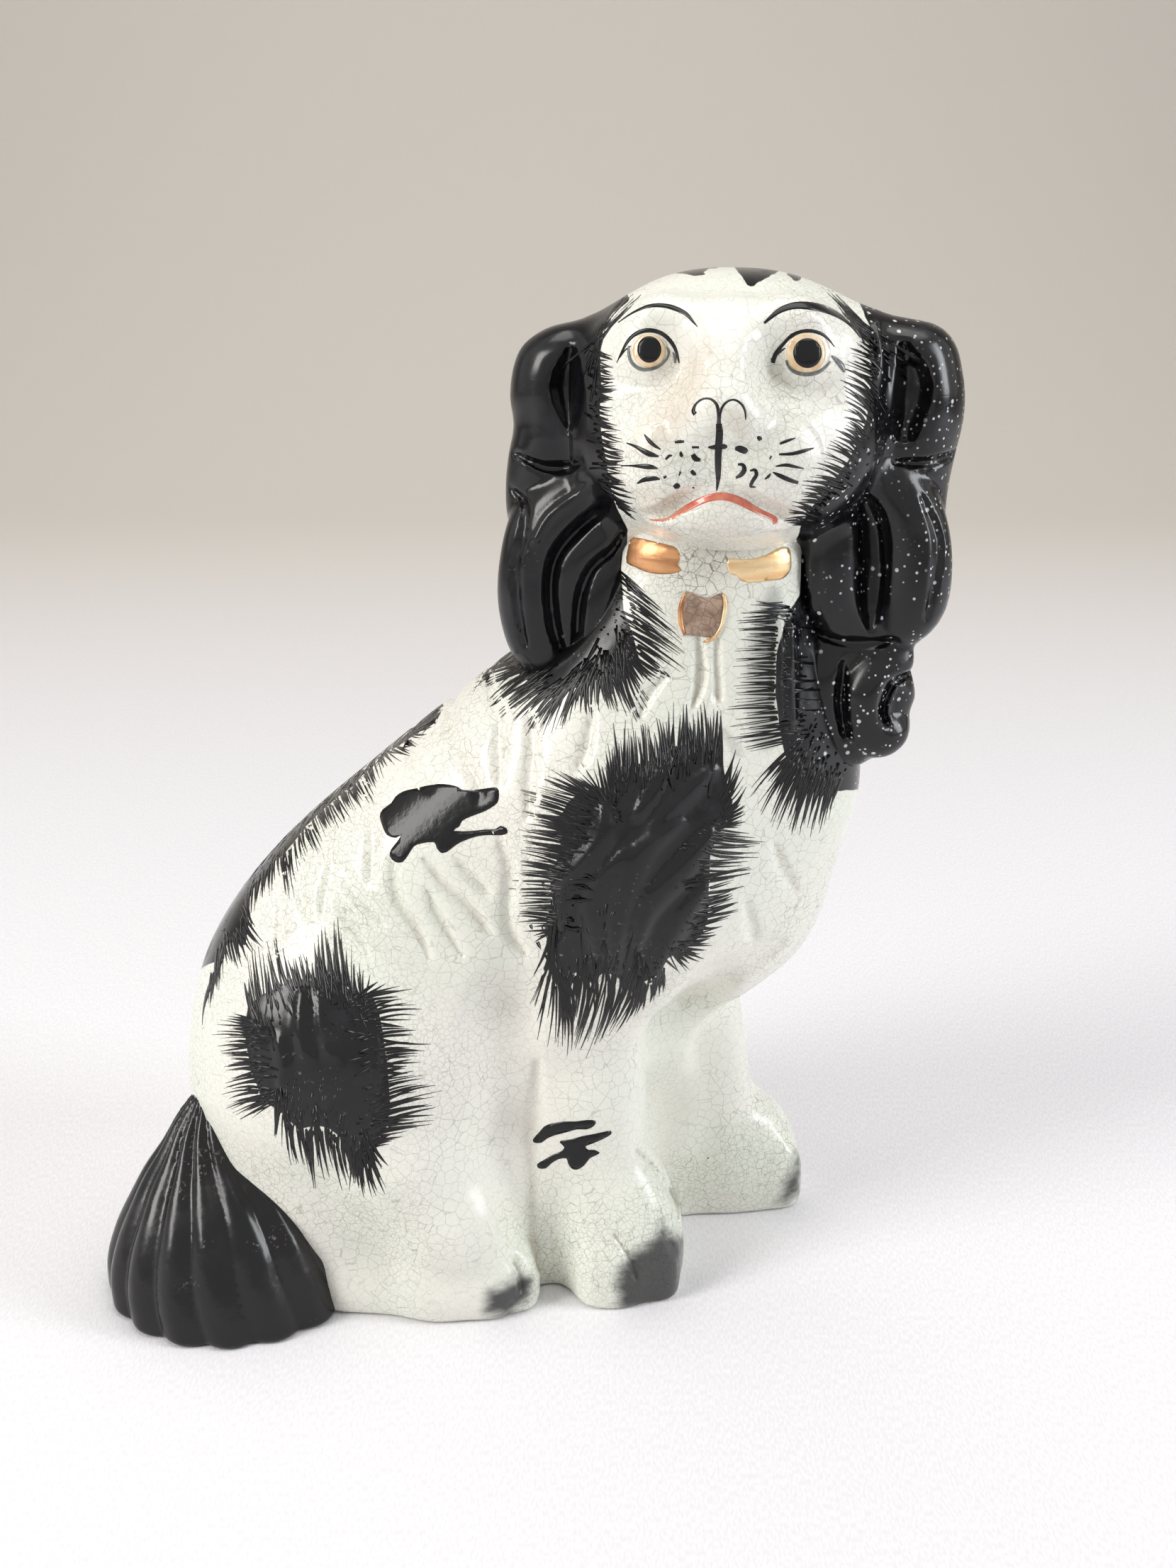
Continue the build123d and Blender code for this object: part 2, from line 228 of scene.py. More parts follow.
# A squared oval's distances grow faster than true ones, so they are eased
oval_slope = 0.85
leg_hollows = (
    # blend, then points (x, y, z, radius)
    (8, (1, -47, 126, 5), (0, -45, 100, 11), (0, -44, 60, 12), (2, -44, 32, 9)),
    (8, (58, -30, 104, 8), (54, -22, 78, 17), (53, -14, 45, 19), (56, -10, 10, 18)))
haunch = (
    # centre, radii, blend, squareness
    ((-50, -9, 77), (46.5, 42.5, 51), 6, 2.0),)
shin_and_hind_foot = (
    (8, (-34, -32, 48, 19), (-20, -34, 26, 15), (-10, -36, 12, 11)),
    (7, (-50, -30, 6, 14), (-24, -35, 6, 13), (-10, -36, 6, 12)))
hind_toes = (
    ((-9, -38, 5), (10, 8.5, 15), 3, 2.4),
    ((-1, -35.5, 6), (8, 8.5, 14), 2.5, 2.4))
shoulder = (
    ((34, -6, 148), (38, 37, 50), 16, 2.0),)
near_front_leg = (
    (8, (20, -8, 128, 19), (21, -14, 96, 16), (21.5, -17, 64, 15.5), (25, -18, 34, 17)),)
near_front_paw = (
    # the paw, and its three toes
    ((31, -20, 12), (19.5, 20, 31), 6, 2.3),
    ((44, -20, 8), (8, 9, 20), 3, 2.4),
    ((41, -30, 7), (9.5, 9, 18), 3, 2.4),
    ((29, -34, 6), (11, 8.5, 17), 3, 2.4))
far_front_leg = (
    (9, (52, 24, 112, 19), (51, 29, 78, 18), (51.5, 30, 50, 17)),)
far_front_paw = (
    # the wall between the legs, the paw, and its two toes
    ((50, 27, 20), (26, 17.5, 60), 8, 3.5),
    ((71, 26, 7), (22, 17, 31), 8, 2.3),
    ((85, 19, 8), (9, 8, 17), 3, 2.3),
    ((84, 30, 8), (9, 9, 17), 3, 2.3))
body_clay = Clay(body_low, body_high, body_grid)
cut, trunk, z = trunk_field(body_clay, 0.0)
body_clay.merge(cut, trunk * oval_slope, blend=1.0)
body_clay.limbs(leg_hollows, take=True)
body_clay.masses(haunch)
body_clay.limbs(shin_and_hind_foot)
body_clay.masses(hind_toes)
body_clay.masses(shoulder)
body_clay.limbs(near_front_leg)
body_clay.masses(near_front_paw)
body_clay.limbs(far_front_leg)
body_clay.masses(far_front_paw)

# The fur's waves are placed by pixels (u, v) of the 1659 x 2212 photograph, which looks down
# on the figure from half a metre away
photo_width, photo_height = 1659, 2212
focal_pixels = 2400.0
camera_pitch = math.radians(20.0)
camera_place = np.array([21.8, -477.9, 330.9])


def sight(u, v):
    """The direction in which the camera sees a pixel."""
    right = (u - photo_width / 2) / focal_pixels
    up = -(v - photo_height / 2) / focal_pixels
    cosine, sine = math.cos(camera_pitch), math.sin(camera_pitch)
    return np.stack([right, cosine + up * sine, -sine + up * cosine], -1)


def at_depth(u, v, y):
    """The place that a pixel shows on the upright plane at that y."""
    ray = sight(u, v)
    return camera_place + ray * ((y - camera_place[1]) / ray[..., 1:2])


def to_pixels(points):
    """The pixels at which the camera sees some places."""
    away = np.asarray(points, float) - camera_place
    cosine, sine = math.cos(camera_pitch), math.sin(camera_pitch)
    ahead = away[..., 1] * cosine - away[..., 2] * sine
    up = away[..., 1] * sine + away[..., 2] * cosine
    u = photo_width / 2 + focal_pixels * away[..., 0] / ahead
    v = photo_height / 2 - focal_pixels * up / ahead
    return np.stack([u, v], -1)


def smooth_path(points, steps, closed=False):
    """A rounded path through the points, with so many steps between each two."""
    points = np.array(points, float)
    if closed:
        padded = np.vstack([points[-1:], points, points[:2]])
    else:
        padded = np.vstack([2 * points[0] - points[1], points, 2 * points[-1] - points[-2]])
    path = []
    for i in range(len(padded) - 3):
        before, start, stop, after = padded[i:i + 4]
        for t in np.arange(steps) / steps:
            path.append(0.5 * (2 * start + (stop - before) * t
                               + (2 * before - 5 * start + 4 * stop - after) * t ** 2
                               + (3 * start - before - 3 * stop + after) * t ** 3))
    if not closed:
        path.append(points[-1])
    return np.array(path)


def relief_at(pixels, curves):
    """The height of raised and sunk curves at pixels of the photograph.

    Each curve is a height in millimetres, then points (u, v, half width), all in pixels.
    """
    raised, sunk = np.zeros(len(pixels)), np.zeros(len(pixels))
    for lift, *points in curves:
        path = smooth_path(points, 3)
        widest = path[:, 2].max()
        near = np.nonzero(np.all((pixels > path[:, :2].min(0) - widest)
                                 & (pixels < path[:, :2].max(0) + widest), axis=1))[0]
        u, v = pixels[near].T
        height = np.zeros(len(near))
        for start, stop in zip(path[:-1], path[1:]):
            line = (stop - start)[:2]
            share = ((u - start[0]) * line[0] + (v - start[1]) * line[1]) / (line @ line)
            share = np.clip(share, 0, 1)
            away = np.hypot(u - start[0] - share * line[0], v - start[1] - share * line[1])
            width = np.maximum(start[2] + share * (stop[2] - start[2]), 0.5)
            rise = np.minimum(width / widest * 1.5, 1)
            height = np.maximum(height, rise * np.maximum(1 - (away / width) ** 2, 0) ** 1.2)
        side = raised if lift > 0 else sunk
        side[near] = np.maximum(side[near], height * abs(lift))
    return raised - sunk


fur_waves = (
    (-2.0, (640, 985, 6), (637, 1030, 14), (652, 1065, 14), (672, 1100, 11), (680, 1130, 5)),
    (-1.7, (577, 1050, 6), (587, 1085, 13), (605, 1115, 6)),
    (-1.7, (520, 1110, 6), (527, 1180, 13), (522, 1245, 6)),
    (-1.6, (470, 1165, 6), (470, 1225, 13), (460, 1260, 11), (455, 1300, 5)),
    (-1.6, (476, 1205, 6), (495, 1250, 14), (525, 1290, 11), (545, 1308, 5)),
    (-1.4, (470, 1265, 6), (495, 1305, 13), (522, 1350, 5)),
    (-2.0, (553, 1215, 6), (562, 1270, 14), (585, 1305, 14), (606, 1350, 6)),
    (-2.0, (598, 1212, 6), (630, 1250, 14), (662, 1278, 14), (692, 1318, 6)),
    (-1.7, (604, 1255, 6), (620, 1295, 13), (652, 1348, 6)),
    (-1.6, (643, 1212, 6), (665, 1235, 13), (692, 1262, 6)),
    (-1.6, (703, 1180, 6), (720, 1230, 13), (716, 1280, 13), (722, 1318, 13), (742, 1345, 6)),
    (-1.6, (707, 1000, 6), (705, 1055, 14), (706, 1105, 6)),
    (-1.6, (747, 1010, 6), (752, 1050, 13), (747, 1105, 13), (745, 1155, 6)),
    (-1.6, (836, 1005, 6), (826, 1060, 13), (812, 1090, 6)),
    (-2.1, (985, 895, 6), (988, 955, 14), (975, 1000, 6)),
    (-1.6, (1010, 900, 6), (1013, 985, 11)),
    (-1.6, (942, 950, 6), (915, 980, 13), (900, 1015, 6)),
    (-1.3, (688, 955, 6), (702, 1015, 11)),
    (-1.4, (1092, 1190, 6), (1105, 1230, 13), (1122, 1255, 6)),
    (-1.4, (1052, 1270, 6), (1060, 1310, 13), (1066, 1340, 6)),
    (-1.6, (435, 1195, 6), (425, 1250, 13), (436, 1300, 6)),
    (-1.2, (400, 1240, 6), (398, 1290, 11), (388, 1340, 5)),
    (1.8, (852, 1135, 10), (850, 1180, 21), (832, 1210, 22), (800, 1250, 22), (790, 1300, 13)),
    (1.8, (885, 1200, 10), (850, 1243, 21), (835, 1285, 22), (845, 1345, 11)),
    (2.0, (960, 1160, 10), (908, 1200, 24), (882, 1255, 26), (868, 1320, 19), (868, 1370, 10)),
    (1.8, (1005, 1175, 10), (962, 1230, 22), (915, 1280, 21), (900, 1330, 11)),
    (1.6, (995, 1255, 10), (960, 1300, 21), (935, 1345, 18), (918, 1385, 8)),
    (1.5, (945, 1070, 10), (922, 1115, 19), (900, 1150, 11)),
    (1.5, (1005, 1085, 10), (962, 1125, 19), (922, 1168, 11)),
    (1.1, (425, 1400, 8), (424, 1450, 14), (430, 1490, 10)),
    (1.1, (450, 1400, 8), (457, 1450, 14), (466, 1490, 10)),
    (1.1, (392, 1465, 8), (397, 1495, 14), (398, 1530, 10)),
    (1.1, (528, 1460, 8), (530, 1500, 14), (532, 1530, 10)),
    (1.4, (1102, 880, 6), (1100, 940, 11), (1102, 1010, 8)),
    (1.8, (1118, 880, 8), (1116, 940, 13), (1118, 1015, 10)),
    (-2.0, (1100, 1328, 12), (1055, 1353, 24), (1010, 1382, 24), (960, 1412, 12)),
    (-1.4, (758, 1500, 10), (752, 1600, 16), (750, 1700, 14), (756, 1790, 8)),
    (-1.8, (897, 1625, 5), (925, 1655, 8), (948, 1690, 7), (956, 1725, 5)),
    (-1.8, (866, 1740, 4), (886, 1770, 7), (897, 1800, 6)),
    (-1.2, (925, 1712, 3), (940, 1740, 5), (950, 1765, 4)),
    (-1.8, (722, 1778, 4), (733, 1800, 7), (737, 1822, 5)),
    (-1.4, (1112, 1612, 3), (1118, 1630, 5), (1122, 1650, 4)),
    (0.6, (886, 780, 22), (925, 787, 24), (960, 793, 25), (1000, 797, 25), (1040, 799, 25),
     (1080, 798, 24), (1114, 792, 22)),
    (-0.7, (880, 757, 4), (925, 763, 6), (960, 770, 6), (1000, 774, 6), (1040, 774, 6),
     (1080, 772, 6), (1114, 764, 4)),
)


def fur_height(points):
    """The height of the fur's waves, the same on both sides of the body."""
    folded = points.copy()
    folded[:, 1] = spine_y - np.abs(points[:, 1] - spine_y)
    return relief_at(to_pixels(folded), fur_waves)


body_clay.emboss(fur_height)
body_clay.stand(edge=2.0)
# The recess that the base slab fills, clear of the hollows beside the leg
recess_top = 12
recess_fit, recess_blend = 0.2, 0.5
recess_clearings = (
    # centre, radii
    ((0, -46, 72), (17, 18, 65)),
    ((54, -15, 30), (25, 25, 70)))
recess = Clay(body_low, (*body_high[:2], recess_top), body_grid)
cut, trunk, z = trunk_field(recess, body_wall - recess_fit)
recess.field[cut] = np.maximum(trunk, z - body_wall - recess_fit)
for centre, radii in recess_clearings:
    recess.ball(centre, radii, recess_blend, take=True)
body_clay.merge((slice(None), slice(None), slice(0, recess.field.shape[2])), recess.field,
                recess_blend, take=True)
body = body_clay.mesh("body_skin")

# Where the black enamel lies on the body, as pixels along each patch's edge
haunch_patch = [
    (350, 1420), (366, 1406), (385, 1396), (400, 1388), (417, 1378), (435, 1384), (448, 1376),
    (462, 1371), (478, 1382), (495, 1398), (512, 1400), (526, 1406), (535, 1430), (541, 1460),
    (546, 1500), (548, 1530), (551, 1560), (547, 1588), (536, 1602), (530, 1622), (520, 1642),
    (505, 1648), (494, 1628), (480, 1604), (464, 1592), (446, 1588), (430, 1592), (414, 1588),
    (400, 1572), (385, 1562), (370, 1554), (362, 1530), (355, 1510), (350, 1490), (346, 1468),
    (346, 1444)]
chest_patch = [
    (865, 1100), (872, 1083), (888, 1076), (906, 1077), (925, 1070), (942, 1056), (962, 1051),
    (985, 1047), (1008, 1050), (1019, 1062), (1022, 1090), (1028, 1112), (1034, 1132),
    (1028, 1155), (1012, 1180), (1002, 1205), (1000, 1255), (998, 1300), (988, 1322),
    (965, 1340), (942, 1352), (930, 1375), (908, 1386), (895, 1400), (880, 1384), (862, 1374),
    (850, 1372), (830, 1390), (812, 1372), (803, 1400), (797, 1450), (790, 1400), (777, 1362),
    (770, 1332), (774, 1302), (779, 1270), (776, 1240), (788, 1205), (794, 1172), (792, 1150),
    (802, 1130), (818, 1118), (840, 1112), (854, 1112)]
spine_band = [
    (620, 985), (604, 1012), (590, 1034), (562, 1052), (532, 1068), (517, 1086), (500, 1108),
    (481, 1120), (466, 1134), (450, 1147), (432, 1166), (415, 1188), (400, 1206), (385, 1216),
    (374, 1232), (360, 1242), (350, 1262), (344, 1282), (352, 1300), (346, 1334), (330, 1330),
    (319, 1326), (311, 1350), (302, 1376), (294, 1402), (286, 1430), (240, 1430), (240, 1100),
    (420, 940), (600, 900), (640, 950)]
under_right_ear = [
    (690, 880), (700, 930), (718, 944), (736, 952), (752, 968), (776, 975), (800, 968),
    (834, 960), (858, 956), (884, 946), (902, 930), (893, 900), (880, 860), (876, 800),
    (880, 760), (868, 700), (856, 600), (690, 600)]
under_left_ear = [
    (1128, 840), (1110, 868), (1096, 920), (1094, 980), (1100, 1030), (1106, 1060),
    (1114, 1090), (1135, 1104), (1160, 1112), (1185, 1116), (1230, 1112), (1300, 1080),
    (1400, 1000), (1400, 640), (1190, 640), (1160, 715), (1142, 750), (1130, 785)]
toe_patches = (
    [(862, 1842), (860, 1815), (866, 1785), (880, 1765), (900, 1752), (918, 1735),
     (928, 1718), (940, 1712), (948, 1730), (980, 1740), (970, 1860), (870, 1860)],
    [(675, 1860), (677, 1830), (684, 1812), (700, 1808), (718, 1800), (728, 1785),
     (738, 1790), (752, 1792), (762, 1800), (760, 1830), (720, 1870)],
    [(1088, 1700), (1092, 1680), (1100, 1660), (1112, 1640), (1116, 1622), (1120, 1618),
     (1140, 1620), (1140, 1690), (1110, 1705)])
no_paint = -20.0
pixel_size = 0.195
turned_away = 0.08


def add_values(mesh, name, values):
    """Stores a value at each of a mesh's points, for its material to read."""
    mesh.attributes.new(name, "FLOAT", "POINT").data.foreach_set(
        "value", np.asarray(values, np.float32))


def outline_distance(pixels, outline):
    """How far pixels lie outside a closed outline; inside it the distance is negative."""
    far = np.full(len(pixels), 1e9)
    inside = np.zeros(len(pixels), bool)
    u, v = pixels[:, 0], pixels[:, 1]
    for start, stop in zip(outline, np.roll(outline, -1, axis=0)):
        line = stop - start
        share = ((u - start[0]) * line[0] + (v - start[1]) * line[1]) / max(line @ line, 1e-9)
        share = np.clip(share, 0, 1)
        far = np.minimum(far, (u - start[0] - share * line[0]) ** 2
                         + (v - start[1] - share * line[1]) ** 2)
        if start[1] != stop[1]:
            crosses = (start[1] > v) != (stop[1] > v)
            inside ^= crosses & (u < start[0] + line[0] * (v - start[1]) / line[1])
    return np.where(inside, -1, 1) * np.sqrt(far)


def normals(mesh):
    """A mesh's normals, one for each point."""
    flat = np.empty(len(mesh.vertices) * 3, np.float32)
    mesh.vertex_normals.foreach_get("vector", flat)
    return flat.reshape(-1, 3).astype(float)


def hollowness(mesh, rounds=12):
    """How deep each point lies in a hollow, in millimetres, from its neighbours' places."""
    edges = np.empty(len(mesh.edges) * 2, np.int32)
    mesh.edges.foreach_get("vertices", edges)
    edges = edges.reshape(-1, 2)
    ends = np.concatenate([edges, edges[:, ::-1]])
    count = np.bincount(ends[:, 0], minlength=len(mesh.vertices)).clip(1)
    start = places = corners(mesh)
    for _ in range(rounds):
        places = np.stack([np.bincount(ends[:, 0], places[ends[:, 1], i], len(places)) / count
                           for i in range(3)], -1)
    return np.sum((places - start) * normals(mesh), axis=1)


def facing(places, directions):
    """How far surfaces turn from the camera: 1 away from it, -1 straight at it."""
    rays = places - camera_place
    rays /= np.linalg.norm(rays, axis=1)[:, None]
    return np.sum(rays * directions, axis=1)


def enamel_at(places, directions, outlines):
    """How far points lie inside the painted outlines that the camera sees."""
    pixels = to_pixels(places)
    depth = np.full(len(places), no_paint)
    for outline in outlines:
        depth = np.maximum(depth, -outline_distance(pixels, np.array(outline, float))
                           * pixel_size)
    return np.where(facing(places, directions) < turned_away, depth, no_paint)


class Wire:
    """A socket of a material's nodes, used in sums like a number."""

    def __init__(self, nodes, socket):
        self.nodes, self.socket = nodes, socket

    def maths(self, operation, first, second):
        return self.nodes.node("ShaderNodeMath", {"operation": operation},
                               {0: first, 1: second})

    def __add__(self, other):
        return self.maths("ADD", self, other)

    def __sub__(self, other):
        return self.maths("SUBTRACT", self, other)

    def __rsub__(self, other):
        return self.maths("SUBTRACT", other, self)

    def __mul__(self, other):
        return self.maths("MULTIPLY", self, other)

    __radd__, __rmul__ = __add__, __mul__

    def most(self, other):
        return self.maths("MAXIMUM", self, other)

    def least(self, other):
        return self.maths("MINIMUM", self, other)

    def step(self, low, high):
        """A smooth step from 0 to 1 as the value goes from low to high."""
        return self.nodes.node("ShaderNodeMapRange", {"interpolation_type": "SMOOTHSTEP"},
                               {"Value": self, "From Min": low, "From Max": high})


class Nodes:
    """The nodes of a material or of the world."""

    def __init__(self, tree):
        self.tree = tree

    def node(self, kind, settings, sockets, output=0):
        node = self.tree.nodes.new(kind)
        for setting, value in settings.items():
            setattr(node, setting, value)
        for socket, value in sockets.items():
            if isinstance(value, Wire):
                self.link(value, node.inputs[socket])
            else:
                node.inputs[socket].default_value = value
        return Wire(self, node.outputs[output])

    def link(self, value, socket):
        self.tree.links.new(value.socket, socket)


class Finish(Nodes):
    """A material, and the nodes that colour it."""

    def __init__(self, name, **constants):
        self.material = bpy.data.materials.new(name)
        self.material.use_nodes = True
        super().__init__(self.material.node_tree)
        self.shader = self.tree.nodes["Principled BSDF"]
        self.place = self.node("ShaderNodeTexCoord", {}, {}, "Object")
        for socket, value in constants.items():
            self.shader.inputs[socket.replace("_", " ")].default_value = value

    def value(self, name):
        return self.node("ShaderNodeAttribute", {"attribute_name": name}, {}, "Fac")

    def noise(self, scale, detail=2.0, rough=0.5, stretch=None):
        place = self.place
        if stretch:
            place = self.node("ShaderNodeVectorMath", {"operation": "MULTIPLY"},
                              {0: place, 1: stretch})
        return self.node("ShaderNodeTexNoise", {}, {"Vector": place, "Scale": scale,
                                                    "Detail": detail, "Roughness": rough})

    def mix(self, share, first, second):
        return self.node("ShaderNodeMix", {"data_type": "RGBA"},
                         {0: share, 6: first, 7: second}, 2)

    def dots(self, scale, core, rim):
        """Round specks, soft between core and rim, one to each cell."""
        away = self.node("ShaderNodeTexVoronoi", {"feature": "F1"},
                         {"Vector": self.place, "Scale": scale, "Randomness": 1.0})
        return 1 - away.step(core, rim)

    def cracks(self, scale, width, warp=0.0006):
        """Fine lines between cells, as in a crazed glaze."""
        bend = self.node("ShaderNodeTexNoise", {"noise_dimensions": "3D"},
                         {"Vector": self.place, "Scale": scale * 1.3, "Detail": 2.0}, "Color")
        bend = self.node("ShaderNodeVectorMath", {"operation": "SCALE"},
                         {0: bend, "Scale": warp})
        place = self.node("ShaderNodeVectorMath", {"operation": "ADD"},
                          {0: self.place, 1: bend})
        edge = self.node("ShaderNodeTexVoronoi", {"feature": "DISTANCE_TO_EDGE"},
                         {"Vector": place, "Scale": scale})
        return 1 - edge.step(width * 0.3, width)

    def bump(self, height, distance, strength):
        return self.node("ShaderNodeBump", {}, {"Height": height, "Distance": distance,
                                                "Strength": strength})

    def paint(self, **sockets):
        for socket, value in sockets.items():
            self.link(value, self.shader.inputs[socket.replace("_", " ")])
        return self.material


def colour(red, green, blue):
    """A colour from its screen values, 0 to 255."""
    return tuple(((c / 255 + 0.055) / 1.055) ** 2.4 if c > 10 else c / 255 / 12.92
                 for c in (red, green, blue)) + (1.0,)


# Cream glaze with fine crazing, stained in its cracks, with painted shade in its hollows,
# under the chin and on the face, under black enamel where a skin says so
warm_cream, cool_cream = colour(243, 241, 232), colour(236, 239, 227)
pooled_and_shaded_cream, stained_and_shaded_cream = colour(208, 196, 176), colour(186, 184, 172)
shade_and_blush_beige, green_wash = colour(208, 186, 162), colour(118, 126, 122)
crack_brown, speck_brown = colour(120, 116, 96), colour(60, 52, 46)
enamel_black, enamel_dust_and_sheen = colour(12, 12, 14), colour(38, 38, 46)
enamel_worn, toe_black = colour(150, 150, 152), colour(30, 31, 36)
spatter_white = colour(225, 228, 232)
finish = Finish("cream_glaze", IOR=1.52, Specular_IOR_Level=0.4)
broad = finish.noise(16.0, 2.0)
patchy = finish.noise(55.0, 3.0)
# Glaze pooled thicker in the hollows, with shade painted there too: folds and creases are tinted beige
# by their depth
pooled_glaze_and_shade = (finish.value("hollow") + (patchy - 0.5) * 0.5).step(0.15, 1.4)
cream = finish.mix(broad.step(0.35, 0.65), warm_cream, cool_cream)
cream = finish.mix(pooled_glaze_and_shade * 0.6, cream, pooled_and_shaded_cream)
fine = finish.cracks(560.0, 0.085) * (0.07 + 0.2 * finish.noise(22.0).step(0.4, 0.62))
coarse = finish.cracks(290.0, 0.035) * (0.12 + 0.24 * finish.noise(30.0, 3.0).step(0.35, 0.6))
# Under the chin the crazing is stained, and the glaze there is painted darker as shade
stain_and_shade = finish.value("stain_and_shade")
# Painted shade on the face in beige, with a pinkish tint at the nostril
cream = finish.mix(finish.value("shade_and_blush") * 0.4, cream, shade_and_blush_beige)
cream = finish.mix(finish.value("wash") * 0.6, cream, green_wash)
crack = (fine + coarse + stain_and_shade * (fine * 3.0 + coarse * 2.0)).least(0.85)
cream = finish.mix(stain_and_shade * 0.55, cream, stained_and_shaded_cream)
cream = finish.mix(crack, cream, crack_brown)
specks = finish.dots(120.0, 0.03, 0.055) * finish.noise(40.0).step(0.62, 0.64)
cream = finish.mix(specks, cream, speck_brown)
streak = finish.noise(260.0, 3.0, stretch=(1.0, 1.0, 0.25))
enamel = (finish.value("enamel") + (streak - 0.5) * 0.8).step(-0.12, 0.12)
# Dust on the black enamel, in patches that also paint a bluish sheen on it
dust_and_sheen = finish.noise(90.0, 4.0, 0.6).step(0.45, 0.75)
black = finish.mix(dust_and_sheen * 0.3, enamel_black, enamel_dust_and_sheen)
worn = finish.noise(700.0, 2.0).step(0.66, 0.72) * finish.noise(28.0).step(0.55, 0.68)
black = finish.mix(worn * 0.5, black, enamel_worn)
toes = finish.value("toes") + (finish.noise(420.0, 3.0, stretch=(0.2, 1.0, 1.0)) - 0.5) * 4.0
toes = toes.step(-0.8, 4.5)
cream = finish.mix(toes * 0.93, cream, toe_black)
spatter = finish.dots(240.0, 0.12, 0.17) * finish.noise(75.0).step(0.44, 0.5)
mist = finish.dots(520.0, 0.15, 0.22) * finish.noise(50.0).step(0.42, 0.55)
spatter = spatter.most(mist) * finish.value("spatter")
black = finish.mix(spatter * 0.85, black, spatter_white)
height = broad * 0.6 + patchy * 0.12 + enamel * (0.02 + streak * 0.05) - crack * 0.05
cream_glaze = finish.paint(Base_Color=finish.mix(enamel, cream, black),
                           Roughness=0.24 - enamel * 0.07 + enamel * dust_and_sheen * 0.2 + toes * 0.1,
                           Normal=finish.bump(height, 0.001, 0.25))

# The crazing is stained under the chin, where shade is painted on the glaze too, and white
# spatter lies on the paint at the right
stain_and_shade_middle, stain_and_shade_spread = (990, 800), (55, 32)
spatter_from = 1120


def glaze(piece, enamel, toes=no_paint, shades_and_blush=(), washes=()):
    """Gives a skin the glaze, and stores what the glaze's nodes read at each point."""
    mesh = piece.data
    places = corners(mesh)
    pixels = to_pixels(places)
    seen = facing(places, normals(mesh)) < 0
    spread = ((pixels - stain_and_shade_middle) / stain_and_shade_spread) ** 2
    add_values(mesh, "enamel", enamel)
    add_values(mesh, "hollow", hollowness(mesh))
    add_values(mesh, "toes", toes + 0 * enamel)
    add_values(mesh, "stain_and_shade", np.exp(-spread.sum(1)) * seen)
    add_values(mesh, "shade_and_blush", relief_at(pixels, shades_and_blush) * seen)
    add_values(mesh, "wash", relief_at(pixels, washes) * seen)
    add_values(mesh, "spatter", pixels[:, 0] > spatter_from)
    mesh.materials.append(cream_glaze)


def surface_of(piece):
    """A piece's surface, for paint to be laid on."""
    mesh = piece.data
    faces = np.empty(len(mesh.loops), np.int32)
    mesh.loops.foreach_get("vertex_index", faces)
    return BVHTree.FromPolygons(corners(mesh).tolist(), faces.reshape(-1, 4).tolist())


def settle(piece, slot, *nodes):
    """Turns a done skin to metres, and says what it rides on and stands for."""
    places = corners(piece.data) * metre
    piece.data.vertices.foreach_set("co", places.astype(np.float32).ravel())
    piece.data.update()
    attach(piece, "root")
    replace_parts(piece, *nodes)


# The black on the spine narrows to the rump. Out of the camera's sight the paint goes on round
# the nape and under the ear, with a jagged edge.
rump_end, rump_front, rump_slope = 90.0, -70, 1.5
nape_height, nape_turn, nape_margin = 199, 30, 2
under_ear_middle, under_ear_radii, under_ear_size = (88, 0, 186), (24, 19, 36), 20
jag_height, under_ear_jag = 2.5, 0.6
edge_on = -0.05
neck_washes = (
    (1.0, (1092, 838, 16), (1080, 900, 30), (1076, 970, 32), (1080, 1040, 24)),
    (0.5, (1020, 1030, 8), (1040, 1060, 12)))
places, directions = corners(body.data), normals(body.data)
folded, mirrored = places * (1, -1, 1) + (0, 2 * spine_y, 0), directions * (1, -1, 1)
x, y, z = places.T
far_side = y > spine_y
enamel = enamel_at(places, directions,
                   (haunch_patch, chest_patch, under_right_ear, under_left_ear))
over = enamel_at(folded, mirrored, (under_right_ear,))
enamel = np.maximum(enamel, np.where(far_side, over, no_paint))
band = np.where(far_side, enamel_at(folded, mirrored, (spine_band,)),
                enamel_at(places, directions, (spine_band,)))
narrow = (z - rump_end) * rump_slope - np.abs(y - spine_y)
enamel = np.maximum(enamel, np.where(x < rump_front, np.minimum(band, narrow), band))
jagged = jag_height * np.sin(x * 0.9) * np.sin(x * 0.37 + y * 0.5)
nape = np.minimum(z - nape_height + jagged, directions[:, 1] * nape_turn + nape_margin)
spread = np.linalg.norm((places - under_ear_middle) / under_ear_radii, axis=1)
unseen = np.maximum(nape, (1 - spread) * under_ear_size + jagged * under_ear_jag)
enamel = np.maximum(enamel, np.where(facing(places, directions) > edge_on, unseen,
                                     no_paint))
glaze(body, enamel, toes=enamel_at(places, directions, toe_patches), washes=neck_washes)
body_surface = surface_of(body)
settle(body, "cream_glaze", "body_near_pressing", "body_far_pressing", "near_front_leg",
       "far_front_leg", "near_hind_foot")

# Head
# A hollow ball of clay in two pressings, turned a little to the viewer, with the brow, the
# muzzle and the eye sockets in its mould. It is luted to the neck and glazed with the body.
head_centre = np.array([60.5, -3.0, 269.0])
head_turn = math.radians(7.0)
head_low, head_high = (-8, -64, 148), (136, 48, 310)
head_grid = 0.8
skull, skull_radii = (0, 0, 0), (40, 38, 36)
